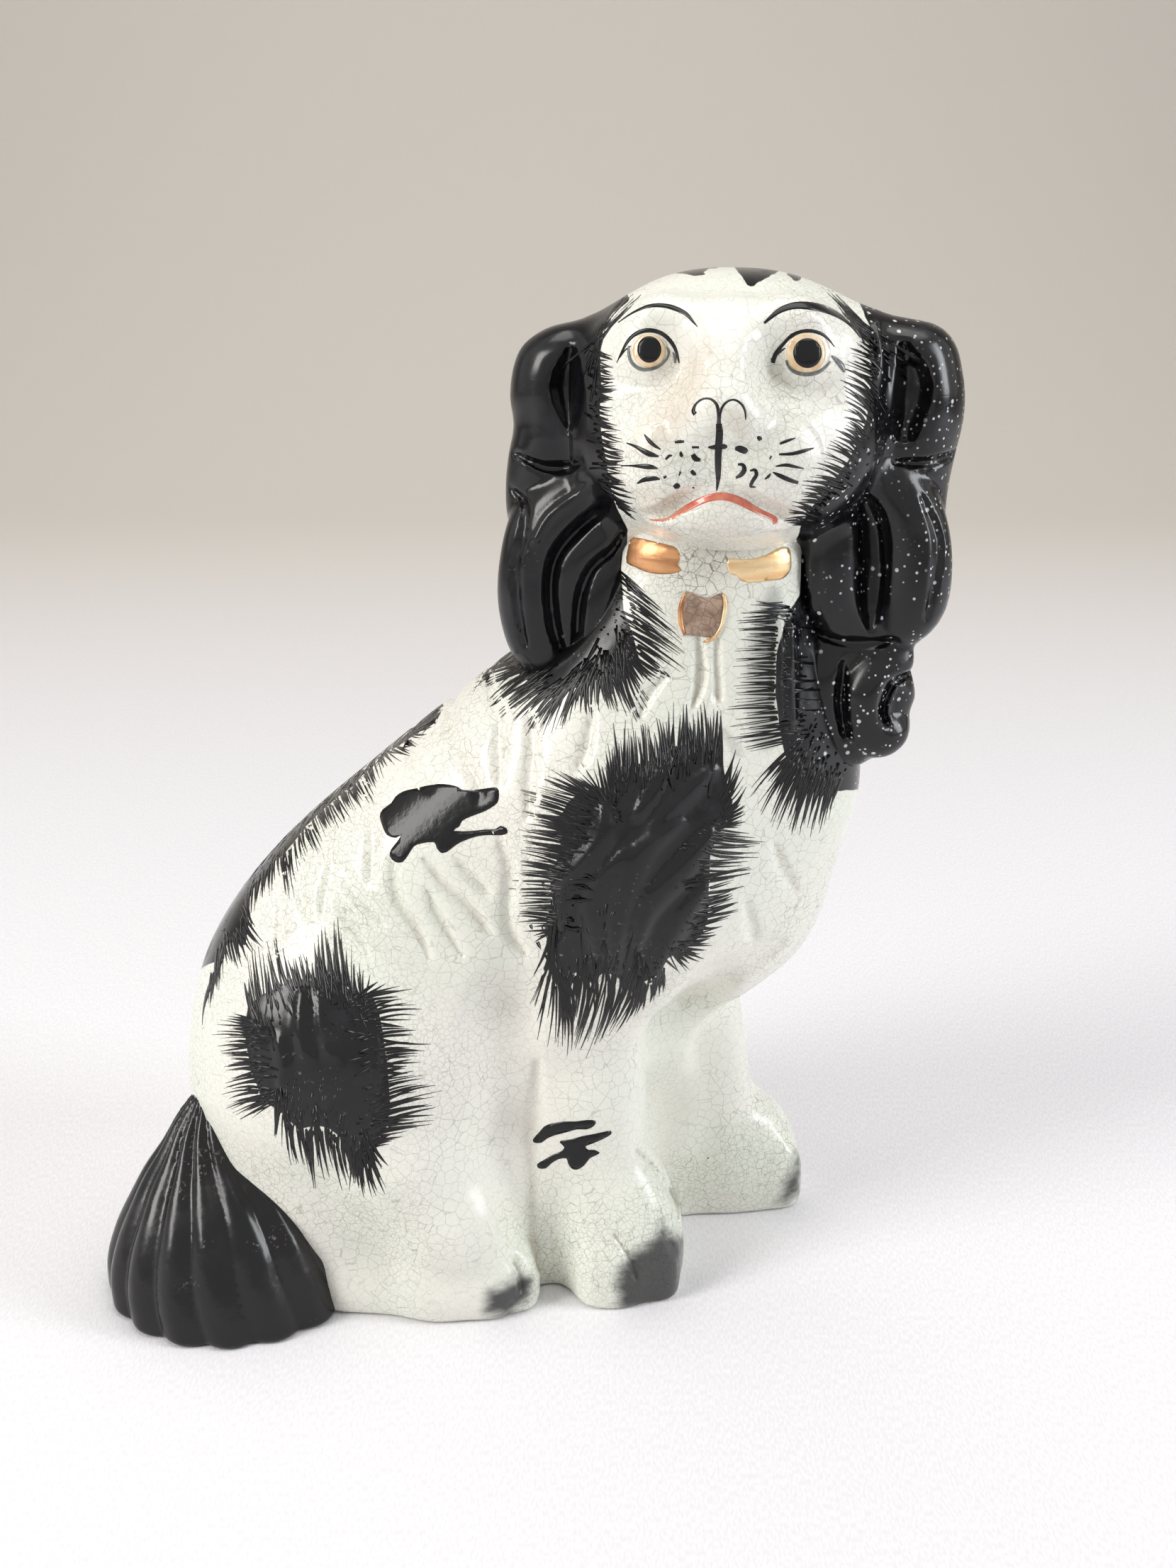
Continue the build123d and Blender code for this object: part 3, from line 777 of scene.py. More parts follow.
# Each place is to the head's own side, ahead of its middle and above it
jaw, jaw_radii = (0, 14, -16), (31, 27, 20)
cheek, cheek_radii = (25, 18, -6), (14, 16, 19)
brow = ((28, 23, 19, 4.5), (17, 28.5, 23, 5), (7, 31, 20, 6))
nose_bridge = ((0, 30, 20, 9), (0, 38, 12, 8.5), (0, 43, 6, 8))
socket, socket_radii = (19.4, 40.5, 14.5), (11, 7, 9)
eyeball, eyeball_radii = (19.4, 27.5, 15.5), (9, 9, 8.5)
upper_lip, upper_lip_radii = (12, 35, -8), (15, 13, 14)
nostril, nostril_radii = (5.5, 45, 2.5), (5.5, 6, 5.5)
nose, nose_radii = (0, 46.5, 5), (7.5, 7.5, 6.5)
chin, chin_radii = (0, 32, -21.5), (20, 14, 9)
lip_groove = ((0, 52.5, -1, 1.2), (0, 50.5, -16, 1.4))
mouth = ((-18, 37.5, -24, 1.0), (-9, 44.5, -18.5, 1.0), (0, 48, -16.5, 1.0),
         (9, 44.5, -18.5, 1.0), (18, 37.5, -24, 1.0))
both_sides = (-1, 1)


def on_head(across, ahead, up):
    """A place on the head: to its own side, ahead of its middle and above it."""
    cosine, sine = math.cos(head_turn), math.sin(head_turn)
    return head_centre + (across * cosine - ahead * sine, -across * sine - ahead * cosine, up)


def head_mass(place, radii, blend, side=1, **how):
    """An oval mass of the head, on the side given."""
    across, ahead, up = place
    head_clay.ball(on_head(across * side, ahead, up), radii, blend, **how)


def head_line(points, side=1):
    """A tube's points on the head, on the side given."""
    return [(*on_head(across * side, ahead, up), radius) for across, ahead, up, radius in points]


head_clay = Clay(head_low, head_high, head_grid)
head_mass(skull, skull_radii, blend=1.0, power=2.4, turn=-head_turn)
head_mass(jaw, jaw_radii, blend=10, turn=-head_turn)
for side in both_sides:
    head_mass(cheek, cheek_radii, blend=10, side=side)
    head_clay.limb(head_line(brow, side), blend=10)
head_clay.limb(head_line(nose_bridge), blend=8)
for side in both_sides:
    head_mass(socket, socket_radii, blend=7, side=side, take=True)
    head_mass(eyeball, eyeball_radii, blend=3, side=side)
    head_mass(upper_lip, upper_lip_radii, blend=9, side=side)
    head_mass(nostril, nostril_radii, blend=4, side=side)
head_mass(nose, nose_radii, blend=5)
head_mass(chin, chin_radii, blend=5)
head_clay.limb(head_line(lip_groove), blend=3, take=True)
head_clay.limb(smooth_path(head_line(mouth), steps=4), blend=3.5, take=True)

# Ears
# Two long hollow ears in wavy locks, each pressed in a mould of its own and luted to the
# side of the head. They and the back of the head are black enamel round the glazed face.
left_ear_outline = [
    (1150, 425), (1225, 430), (1260, 440), (1292, 446), (1318, 452), (1340, 466), (1355, 490),
    (1362, 520), (1366, 555), (1364, 590), (1357, 622), (1350, 650), (1342, 690), (1338, 730),
    (1338, 780), (1340, 830), (1336, 860), (1324, 884), (1300, 900), (1284, 915), (1288, 940),
    (1294, 965), (1295, 985), (1288, 1005), (1288, 1025), (1283, 1041), (1264, 1058),
    (1240, 1070), (1210, 1082), (1175, 1084), (1148, 1064), (1132, 1015), (1128, 960),
    (1128, 900), (1128, 860), (1122, 820), (1126, 782), (1136, 750), (1150, 728), (1160, 704),
    (1164, 672), (1164, 640), (1160, 600), (1158, 550), (1155, 500), (1150, 455)]
left_ear_middle = ((175, -8, 8), (215, -8, 9), (245, -6, 10), (262, -6, 13.5), (305, -6, 14))
left_ear_locks = (
    # the long wave from the face, and the lock at its inner side
    (4, (1216, 652, -12, 5), (1256, 692, -13, 7), (1282, 734, -13, 8.5), (1290, 790, -13, 9),
     (1286, 846, -13, 8.5), (1266, 884, -11, 6)),
    (4, (1190, 694, -11, 4.5), (1174, 742, -13, 6.5), (1170, 800, -13, 7.5),
     (1176, 850, -12, 7), (1204, 884, -11, 5)),
    # the lower curls
    (3, (1170, 914, -11, 5), (1158, 950, -12, 6.5), (1158, 1000, -12, 6.5),
     (1174, 1038, -11, 6), (1204, 1056, -10, 5)),
    (3, (1266, 928, -12, 5), (1240, 944, -13, 6), (1220, 976, -14, 6.5), (1218, 1014, -13, 6.5),
     (1236, 1036, -12, 6), (1256, 1030, -11, 5)),
)
left_ear_relief = (
    (2.0, (1236, 456, 4), (1243, 515, 10), (1233, 575, 9), (1216, 640, 6)),
    (-3.0, (1276, 490, 12), (1290, 545, 30), (1276, 606, 22)),
    (-1.6, (1262, 652, 4), (1310, 652, 10), (1352, 636, 4)),
    (-1.4, (1262, 903, 4), (1225, 908, 10), (1180, 904, 8), (1134, 884, 4)),
    (-2.4, (1208, 690, 8), (1230, 730, 22), (1234, 790, 24), (1230, 850, 20), (1228, 884, 8)),
    (-1.2, (1300, 700, 4), (1322, 760, 9), (1318, 820, 9), (1306, 872, 5)),
    (-1.6, (1190, 935, 5), (1186, 985, 10), (1192, 1035, 8)),
    (-1.8, (1284, 950, 5), (1256, 966, 9), (1244, 1000, 9), (1252, 1022, 5)),
    (1.2, (1150, 740, 5), (1142, 800, 10), (1146, 860, 6)),
)
right_ear_outline = [
    (908, 436), (842, 441), (810, 448), (776, 456), (750, 470), (730, 490), (719, 520),
    (715, 560), (720, 600), (713, 640), (709, 680), (710, 720), (716, 755), (710, 775),
    (705, 800), (702, 830), (706, 852), (718, 876), (724, 900), (723, 922), (729, 944),
    (748, 957), (778, 962), (812, 957), (838, 944), (858, 926), (867, 895), (866, 855),
    (862, 825), (872, 800), (881, 775), (890, 745), (895, 718), (900, 690), (905, 660),
    (908, 620), (910, 580), (912, 540), (912, 500), (912, 465)]
right_ear_middle = ((195, -7, 8), (215, -7, 9), (245, -6, 10), (262, -6, 13.5), (305, -6, 14))
right_ear_locks = (
    # three long locks that flow outwards from the face and then down
    (4, (866, 658, -12, 5), (838, 688, -13, 7), (800, 716, -13, 8), (766, 750, -13, 8.5),
     (752, 800, -13, 8), (750, 850, -13, 8), (760, 900, -12, 7.5), (784, 936, -11, 5.5)),
    (4, (874, 716, -11, 5), (856, 748, -13, 6.5), (824, 782, -13, 7.5), (802, 822, -13, 6.5),
     (798, 868, -12, 6), (802, 926, -11, 5)),
    (4, (870, 782, -11, 4.5), (850, 812, -13, 6), (838, 856, -14, 6), (832, 904, -13, 6),
     (818, 940, -11, 4.5)),
)
right_ear_relief = (
    (-2.8, (806, 496, 10), (800, 545, 26), (814, 596, 20)),
    (1.5, (846, 500, 4), (842, 560, 9), (842, 620, 6)),
    (-1.6, (728, 640, 4), (770, 660, 10), (812, 656, 8), (850, 642, 4)),
    (-2.4, (872, 688, 5), (850, 716, 12), (812, 748, 14), (783, 785, 13), (776, 832, 12),
     (782, 885, 11), (794, 924, 6)),
    (-2.2, (878, 752, 5), (862, 777, 9), (834, 802, 10), (819, 844, 10), (815, 892, 9),
     (812, 932, 5)),
    (-1.4, (724, 690, 4), (742, 712, 8), (738, 760, 9), (728, 800, 9), (732, 860, 8),
     (742, 910, 5)),
    (1.4, (846, 668, 5), (816, 698, 9), (776, 728, 10), (756, 762, 8)),
)
ear_edge = 12.0
ear_swell = 0.7
ear_blend = 7.0
pad_slope = 0.8
lock_flatness = 0.95
relief_front = -8
relief_depth = 6.0


def press_pad(clay, outline, middle, edge, blend):
    """A pad with the outline seen in the photograph, rounded at its edge.

    middle is a table of height, y through which the pad's middle runs, and half thickness
    there.
    """
    outline = smooth_path(outline, 3, closed=True)
    heights, depths, halves = np.array(middle, float).T
    places = at_depth(outline[:, 0], outline[:, 1], depths.mean())
    reach = halves.max() + edge + blend + 2
    low, high = places.min(0) - reach, places.max(0) + reach
    cut, x, y, z = clay.window(low, high)
    back = y - np.interp(z.ravel(), heights, depths)[None, None, :].astype(np.float32)
    whole = (x.size, y.size, z.size)
    points = np.stack([np.broadcast_to(axis, whole) for axis in (x, y, z)], -1)
    inside = outline_distance(to_pixels(points.reshape(-1, 3)), outline)
    inside = inside.reshape(whole).astype(np.float32) * pixel_size
    half = np.interp(z.ravel(), heights, halves)[None, None, :].astype(np.float32)
    back = np.abs(back) * (edge / half)
    shape = np.where(inside > -edge, np.hypot(np.maximum(inside + edge, 0), back), back)
    clay.merge(cut, (shape - edge) * pad_slope, blend)


def lay_lock(clay, points, blend):
    """A lock of hair through points (u, v, y, radius), seen from the camera."""
    places = [(*at_depth(u, v, y), radius) for u, v, y, radius in points]
    clay.limb(smooth_path(places, 4), blend, flat=lock_flatness)


for outline, middle, locks, relief in (
        (left_ear_outline, left_ear_middle, left_ear_locks, left_ear_relief),
        (right_ear_outline, right_ear_middle, right_ear_locks, right_ear_relief)):
    ear_clay = Clay(head_low, head_high, head_grid)
    press_pad(ear_clay, outline, middle, ear_edge, blend=0.5)
    for blend, *points in locks:
        lay_lock(ear_clay, points, blend)
    ear_clay.field += ear_swell
    ear_clay.emboss(lambda points: relief_at(to_pixels(points), relief)
                    * (points[:, 1] < relief_front), relief_depth)
    head_clay.merge(head_clay.everywhere()[0], ear_clay.field, ear_blend)
head = head_clay.mesh("head_and_ears", relax=1)

ear_left_patch = [
    (1200, 395), (1216, 436), (1229, 465), (1231, 500), (1229, 540), (1223, 590), (1212, 620),
    (1198, 648), (1172, 684), (1148, 712), (1132, 735), (1124, 760), (1116, 800), (1116, 850),
    (1116, 900), (1116, 1000), (1130, 1120), (1460, 1120), (1460, 380)]
ear_right_patch = [
    (888, 424), (866, 440), (852, 460), (846, 490), (848, 540), (846, 580), (850, 620),
    (856, 660), (864, 700), (876, 728), (886, 748), (884, 776), (876, 800), (880, 850),
    (884, 900), (880, 1010), (600, 1010), (600, 380), (880, 400)]
crown_patch = [
    (950, 385), (966, 386), (980, 389), (990, 388), (995, 387), (993, 384), (1001, 379),
    (1011, 378), (1020, 375), (1030, 374), (1037, 378), (1043, 386), (1049, 394), (1053, 401),
    (1058, 404), (1064, 403), (1068, 398), (1076, 396), (1083, 391), (1092, 386), (1100, 382),
    (1105, 380), (1110, 386), (1116, 392), (1122, 397), (1128, 396), (1130, 392), (1136, 389),
    (1146, 388), (1160, 392), (1180, 360), (1050, 330), (930, 360)]
# Painted shade beside the nose, under the muzzle and round the mouth, and a pinkish tint in the
# nostril
face_shades_and_blush = (
    (1.0, (996, 480, 12), (985, 520, 24), (962, 566, 34), (930, 606, 34), (905, 630, 20)),
    (0.7, (1030, 582, 12), (1042, 596, 20), (1050, 612, 12)),
    (0.7, (905, 690, 14), (920, 708, 26), (950, 700, 20)),
    (0.5, (1100, 705, 12), (1112, 720, 18), (1100, 735, 12)),
    (0.5, (975, 745, 10), (1010, 752, 16), (1050, 750, 12)))
face_half_width, face_back = 30, -14
places, directions = corners(head.data), normals(head.data)
x, y, z = places.T
enamel = enamel_at(places, directions, (ear_left_patch, ear_right_patch, crown_patch))
around = np.maximum(np.abs(x - head_centre[0]) - face_half_width, y - face_back)
enamel = np.where(facing(places, directions) > turned_away, around, enamel)
glaze(head, enamel, shades_and_blush=face_shades_and_blush)
head_surface = surface_of(head)
settle(head, "cream_glaze", "head_face_pressing", "head_back_pressing", "right_ear",
       "left_ear")

# Tail
# The tail lies against the haunch as a ribbed fan, pressed in its own mould and stuck on
# with slip. It is black enamel all over, dusty and scuffed, and a bluish sheen is painted
# on it in patches.
tail_table = (
    # height, middle x, half length, middle y, half depth
    (0, -88, 40, -24, 37),
    (10, -88.5, 39.5, -23.5, 35.5),
    (20, -88.5, 36.5, -23, 33),
    (31, -88, 31.5, -22.5, 28.5),
    (39, -89, 26, -22, 23),
    (46, -91, 19, -20.5, 18),
    (56, -93, 11, -19, 12),
    (65, -94, 3, -18, 4),
)
tail_top = 65.0
flute_count = 8.5
flute_depth = 1.7
flute_lean = 0.05
flute_middle = 0.6
tail_slope = 0.8
tail_low, tail_high = (-134, -66, -6), (-44, 18, 72)
tail_grid = 0.8
tail_clay = Clay(tail_low, tail_high, tail_grid)
cut, x, y, z = tail_clay.everywhere()
rows = table_at(tail_table, z.ravel().astype(float)).astype(np.float32)
middle_x, half_length, middle_y, half_depth = (rows[:, i][None, None, :] for i in range(4))
dx, dy = x - middle_x, y - middle_y
share = np.sqrt((dx / half_length) ** 2 + (dy / half_depth) ** 2)
size = np.sqrt(dx ** 2 + dy ** 2)
around = np.arctan2(dy / half_depth, dx / half_length)
flutes = flute_depth * (np.abs(np.cos(flute_count * around + flute_lean * z)) - flute_middle)
shape = (size - size / np.maximum(share, 1e-3)) * tail_slope - flutes
tail_clay.merge(cut, np.maximum(shape, z - tail_top), blend=1.0)
tail_clay.stand(edge=2.5)
tail = tail_clay.mesh("tail_skin")

finish = Finish("black_enamel", IOR=1.52, Specular_IOR_Level=0.4)
# Dust on the enamel, in patches that also paint a bluish sheen on it
dust_and_sheen = finish.noise(70.0, 4.0, 0.6).step(0.42, 0.72)
scuff = finish.noise(900.0, 2.0).step(0.60, 0.68) * finish.noise(45.0, 2.0).step(0.58, 0.66)
shade = finish.mix(dust_and_sheen * 0.35, colour(12, 11, 14), colour(36, 34, 40))
shade = finish.mix(scuff * 0.5, shade, colour(132, 124, 120))
black_enamel = finish.paint(Base_Color=shade, Roughness=0.18 + dust_and_sheen * 0.16 + scuff * 0.2,
                            Normal=finish.bump(finish.noise(60.0, 3.0) + dust_and_sheen * 0.2, 0.001, 0.35))
tail.data.materials.append(black_enamel)
settle(tail, "black_enamel", "tail")

# Haunch patch
# The painter fills the patch on the haunch with black enamel, then drags the brush's tip out
# of it into fine hairs all round. The hairs stand a little above the fired glaze.
root_depth = 0.15
brushed_black, brushed_thin = colour(12, 12, 14), colour(84, 80, 78)


class Brush:
    """Strokes and blots of paint laid on a surface, where the camera sees given pixels."""

    # Shares of the paint's thickness, then half widths in pixels
    crest, fall, rim_share = 1.1, 0.5, 0.6
    finest, broad = 0.25, 4

    def __init__(self, surface, lift=0.06, seed=0):
        self.surface, self.lift = surface, lift
        self.chance = np.random.default_rng(seed)
        self.points, self.faces, self.smooth = [], [], []
        self.along, self.lifts = [], []

    def spot(self, u, v):
        ray = Vector(sight(u, v)).normalized()
        place, normal, _, _ = self.surface.ray_cast(Vector(camera_place), ray)
        return (place, normal) if place else (None, None)

    def add(self, place, normal, share, height):
        """One point, above the surface by a share of the paint's thickness, or sunk at 0."""
        lift = self.lift * height if height else -root_depth
        self.points.append(place + normal * lift)
        self.along.append(share)
        self.lifts.append(lift)

    def sheet(self, rows, along):
        """A thin closed sheet over a grid of pixels, row by row as far as the surface goes."""
        laid, shares = [], []
        for row, share in zip(rows, along):
            spots = [self.spot(u, v) for u, v in row]
            if any(place is None for place, _ in spots):
                if len(laid) > 1:
                    break
                laid, shares = [], []
                continue
            laid.append(spots)
            shares.append(share)
        if len(laid) < 2:
            return
        count, width, first = len(laid), len(laid[0]), len(self.points)
        for under in (False, True):
            for spots, share in zip(laid, shares):
                for i, (place, normal) in enumerate(spots):
                    edge = abs(2 * i / (width - 1) - 1)
                    height = 0 if under else self.crest - self.fall * edge
                    self.add(place, normal, share, height)
        for i in range(count - 1):
            for j in range(width - 1):
                a = first + i * width + j
                self.faces.append((a, a + 1, a + width + 1, a + width))
                a += count * width
                self.faces.append((a, a + width, a + width + 1, a + 1))
        rim = ([j for j in range(width)] + [i * width + width - 1 for i in range(1, count)]
               + [(count - 1) * width + j for j in range(width - 2, -1, -1)]
               + [i * width for i in range(count - 2, 0, -1)])
        self.smooth += [True] * (len(self.faces) - len(self.smooth))
        for a, b in zip(rim, rim[1:] + rim[:1]):
            self.faces.append((first + b, first + a, first + a + count * width,
                               first + b + count * width))
        self.smooth += [False] * len(rim)

    def stroke(self, points, steps=3):
        """A stroke through points (u, v, half width)."""
        path = smooth_path(points, steps)
        line = np.gradient(path[:, :2], axis=0)
        line /= np.maximum(np.linalg.norm(line, axis=1), 1e-6)[:, None]
        side = np.stack([-line[:, 1], line[:, 0]], -1)
        half = np.maximum(path[:, 2], self.finest)
        shares = (-1, 0, 1) if half.max() < self.broad else (-1, -0.5, 0, 0.5, 1)
        rows = [[path[i, :2] + side[i] * half[i] * share for share in shares]
                for i in range(len(path))]
        self.sheet(rows, np.linspace(0, 1, len(path)))

    def blot(self, outline, steps=3, gap=6.0):
        """A filled shape with the outline through these pixels."""
        outline = smooth_path(outline, steps, closed=True)
        low, high = outline.min(0), outline.max(0)
        grid = np.stack(np.meshgrid(np.arange(low[0], high[0], gap),
                                    np.arange(low[1], high[1], gap)), -1).reshape(-1, 2)
        grid = grid[outline_distance(grid, outline) < -gap * 0.4]
        flat = [Vector(p) for p in np.vstack([outline, grid])]
        spread, _, cells, _, _, _ = delaunay_2d_cdt(
            flat, [], [list(range(len(outline)))], 1, 1e-4)
        spots = [self.spot(p.x, p.y) for p in spread]
        if any(place is None for place, _ in spots):
            return
        edge = outline_distance(np.array([tuple(p) for p in spread]), outline) > -0.5
        first, count = len(self.points), len(spots)
        for under in (False, True):
            for (place, normal), rim in zip(spots, edge):
                height = self.rim_share if rim else self.crest
                self.add(place, normal, 0.0, 0 if under else height)
        sides = {}
        for cell in cells:
            self.faces.append(tuple(first + i for i in cell))
            self.faces.append(tuple(first + count + i for i in reversed(cell)))
            for a, b in zip(cell, cell[1:] + cell[:1]):
                sides[a, b] = True
        self.smooth += [True] * (len(self.faces) - len(self.smooth))
        for a, b in sides:
            if (b, a) not in sides:
                self.faces.append((first + b, first + a, first + count + a, first + count + b))
        self.smooth += [False] * (len(self.faces) - len(self.smooth))

    def fringe(self, guides, count, width, bend, ragged=0.22):
        """Hairs fanned out between guides (root u, v, tip u, v).

        Each starts a little behind its root, bows to one side and thins to its tip.
        """
        guides, chance = np.array(guides, float), self.chance
        for i in range(count):
            place = (i + chance.uniform(-0.35, 0.35)) / (count - 1) * (len(guides) - 1)
            place = min(max(place, 0), len(guides) - 1.001)
            low = int(place)
            ru, rv, tu, tv = guides[low] + (guides[low + 1] - guides[low]) * (place - low)
            reach = chance.uniform(1 - 2 * ragged, 1 + ragged)
            root = np.array([ru, rv]) + chance.normal(0, 1.5, 2)
            tip = root + (np.array([tu, tv]) - root) * reach + chance.normal(0, 1.5, 2)
            line = tip - root
            side = np.array([-line[1], line[0]])
            bow = bend * chance.uniform(0.2, 1.9) + chance.normal(0, 0.05)
            half = width * chance.uniform(0.4, 1.1) / 2
            shares = np.array([chance.uniform(-1.2, -0.15), 0.05, 0.4, 0.7, 1.0])
            widths = half * np.array([1.0, 1.05, 0.85, 0.5, 0.1])
            self.stroke([(*(root + line * t + side * bow * t * (1.6 - t)), w)
                         for t, w in zip(shares, widths)], 2)

    def mirror(self, middle):
        """Lays the same strokes on the far side of the body too."""
        first = len(self.points)
        for point in self.points[:first]:
            place = Vector((point[0], 2 * middle - point[1], point[2]))
            near, normal, _, _ = self.surface.find_nearest(place)
            self.points.append(near + normal * self.lifts[len(self.points) - first])
        self.along += self.along[:first]
        self.lifts += self.lifts[:first]
        self.faces += [tuple(first + i for i in reversed(face)) for face in self.faces]
        self.smooth += self.smooth

    def piece(self, name, material, slot="black_enamel"):
        """Makes the strokes into one piece."""
        mesh = bpy.data.meshes.new(name)
        mesh.from_pydata([Vector(p) * metre for p in self.points], [], self.faces)
        add_values(mesh, "along", self.along)
        mesh.polygons.foreach_set("use_smooth", np.array(self.smooth, bool))
        shell = bmesh.new()
        shell.from_mesh(mesh)
        bmesh.ops.recalc_face_normals(shell, faces=shell.faces)
        shell.to_mesh(mesh)
        shell.free()
        piece = bpy.data.objects.new(name, mesh)
        piece.data.materials.append(material)
        bpy.context.scene.collection.objects.link(piece)
        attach(piece, "root")
        return piece


finish = Finish("brushed_enamel", IOR=1.5, Specular_IOR_Level=0.35)
thin = finish.value("along").step(0.35, 1.0) * finish.noise(300.0, 2.0).step(0.3, 0.7)
brushed_enamel = finish.paint(Base_Color=finish.mix(thin * 0.75, brushed_black, brushed_thin),
                              Roughness=0.2 + thin * 0.15,
                              Normal=finish.bump(finish.noise(500.0, 2.0), 0.0002, 0.4))

haunch_hairs = [
    (352, 1428, 345, 1385), (356, 1420, 350, 1366), (364, 1410, 354, 1345),
    (374, 1404, 366, 1340), (385, 1400, 376, 1335), (396, 1394, 381, 1332),
    (405, 1388, 396, 1330), (414, 1384, 402, 1345), (426, 1386, 420, 1352),
    (436, 1386, 430, 1350), (446, 1380, 443, 1342), (454, 1376, 450, 1335),
    (462, 1374, 460, 1302), (470, 1378, 462, 1305), (480, 1384, 476, 1312),
    (490, 1392, 482, 1302), (497, 1398, 496, 1330), (505, 1402, 503, 1350),
    (512, 1402, 514, 1368), (520, 1402, 548, 1388), (526, 1404, 588, 1398),
    (531, 1414, 560, 1410), (535, 1424, 600, 1418), (538, 1434, 602, 1436),
    (540, 1448, 562, 1450), (542, 1464, 602, 1460), (544, 1480, 590, 1482),
    (546, 1492, 592, 1492), (548, 1504, 584, 1502), (550, 1516, 582, 1512),
    (550, 1528, 592, 1520), (551, 1540, 590, 1536), (551, 1552, 620, 1538),
    (551, 1564, 602, 1557), (550, 1576, 612, 1568), (547, 1586, 606, 1584),
    (540, 1597, 580, 1590), (535, 1606, 572, 1601), (531, 1616, 552, 1614)]
haunch_lower = [
    (530, 1622, 548, 1645), (525, 1632, 545, 1668), (520, 1640, 538, 1680),
    (513, 1644, 522, 1688), (505, 1644, 508, 1676), (497, 1634, 492, 1674),
    (490, 1622, 500, 1652), (482, 1608, 498, 1666), (474, 1600, 490, 1670),
    (464, 1596, 476, 1656), (454, 1594, 466, 1656), (444, 1592, 452, 1650),
    (434, 1594, 446, 1672), (424, 1594, 440, 1664), (414, 1590, 426, 1654),
    (405, 1580, 416, 1640), (398, 1574, 398, 1618), (388, 1566, 384, 1592)]
haunch_left = [
    (378, 1562, 350, 1584), (370, 1556, 338, 1572), (366, 1550, 326, 1566),
    (364, 1542, 322, 1556), (360, 1530, 322, 1542), (358, 1518, 322, 1528),
    (354, 1508, 320, 1512), (352, 1498, 320, 1500), (350, 1488, 322, 1490),
    (348, 1478, 312, 1480), (347, 1468, 308, 1470), (347, 1456, 308, 1456),
    (348, 1446, 310, 1442), (350, 1436, 324, 1432)]
brush = Brush(body_surface, seed=11)
brush.fringe(haunch_hairs, count=136, width=4.6, bend=-0.06)
brush.fringe(haunch_lower, count=70, width=4.8, bend=0.08)
brush.fringe(haunch_left, count=60, width=3.8, bend=0.10)
brush.piece("haunch_patch_hairs", brushed_enamel)

# Chest patch
# The largest patch runs from the breast down over the shoulder to the near leg. Its hairs are
# the same enamel, longest at the bottom, where the painter drew them down together.
chest_left = [
    (850, 1112, 842, 1078), (838, 1116, 800, 1090), (826, 1120, 778, 1096),
    (816, 1124, 754, 1106), (806, 1132, 742, 1114), (800, 1142, 745, 1128),
    (798, 1152, 748, 1140), (796, 1162, 746, 1152), (796, 1174, 742, 1166),
    (795, 1184, 742, 1178), (793, 1194, 744, 1186), (791, 1204, 744, 1196),
    (788, 1214, 744, 1206), (784, 1224, 738, 1218), (780, 1236, 732, 1234),
    (779, 1248, 728, 1248), (780, 1262, 728, 1262), (779, 1276, 728, 1278),
    (778, 1290, 730, 1292), (776, 1304, 736, 1304), (776, 1318, 748, 1332)]
chest_bottom = [
    (776, 1320, 744, 1380), (778, 1334, 744, 1425), (780, 1350, 756, 1452),
    (784, 1368, 772, 1472), (788, 1384, 784, 1484), (796, 1400, 792, 1478),
    (800, 1410, 800, 1474), (808, 1392, 806, 1440), (816, 1384, 808, 1436),
    (828, 1394, 812, 1470), (838, 1386, 806, 1486), (850, 1378, 812, 1478),
    (862, 1380, 830, 1470), (874, 1384, 842, 1462), (884, 1390, 850, 1458),
    (894, 1402, 862, 1452), (902, 1396, 884, 1440), (910, 1388, 902, 1426),
    (920, 1382, 914, 1414), (930, 1378, 926, 1402), (938, 1366, 940, 1390)]
chest_right = [
    (942, 1354, 958, 1374), (952, 1346, 974, 1362), (966, 1342, 996, 1348),
    (978, 1332, 1008, 1332), (988, 1322, 1014, 1316), (996, 1308, 1024, 1300),
    (999, 1294, 1034, 1284), (1000, 1280, 1036, 1268), (1001, 1266, 1042, 1254),
    (1001, 1250, 1048, 1238), (1002, 1236, 1050, 1228), (1003, 1220, 1052, 1216),
    (1006, 1208, 1070, 1208), (1010, 1196, 1060, 1192), (1014, 1186, 1072, 1188),
    (1020, 1172, 1058, 1174), (1026, 1160, 1052, 1152), (1032, 1148, 1050, 1136),
    (1034, 1134, 1050, 1112), (1030, 1116, 1044, 1080), (1024, 1096, 1038, 1040)]
chest_top = [
    (858, 1112, 848, 1078), (864, 1100, 858, 1044), (872, 1086, 868, 1030),
    (880, 1080, 880, 1022), (892, 1078, 888, 1026), (905, 1078, 900, 1030),
    (916, 1076, 910, 1018), (928, 1070, 922, 1034), (938, 1062, 930, 1010),
    (950, 1056, 953, 1000), (964, 1052, 964, 998), (976, 1052, 975, 1008),
    (988, 1050, 984, 992), (1000, 1052, 994, 1000), (1010, 1054, 1010, 1006),
    (1018, 1062, 1018, 1012)]
brush = Brush(body_surface, seed=12)
brush.fringe(chest_left, count=101, width=4.2, bend=0.04)
brush.fringe(chest_bottom, count=86, width=4.6, bend=-0.11, ragged=0.12)
brush.fringe(chest_right, count=94, width=4.4, bend=0.06)
brush.fringe(chest_top, count=73, width=5.0, bend=0.03)
brush.piece("chest_patch_hairs", brushed_enamel)

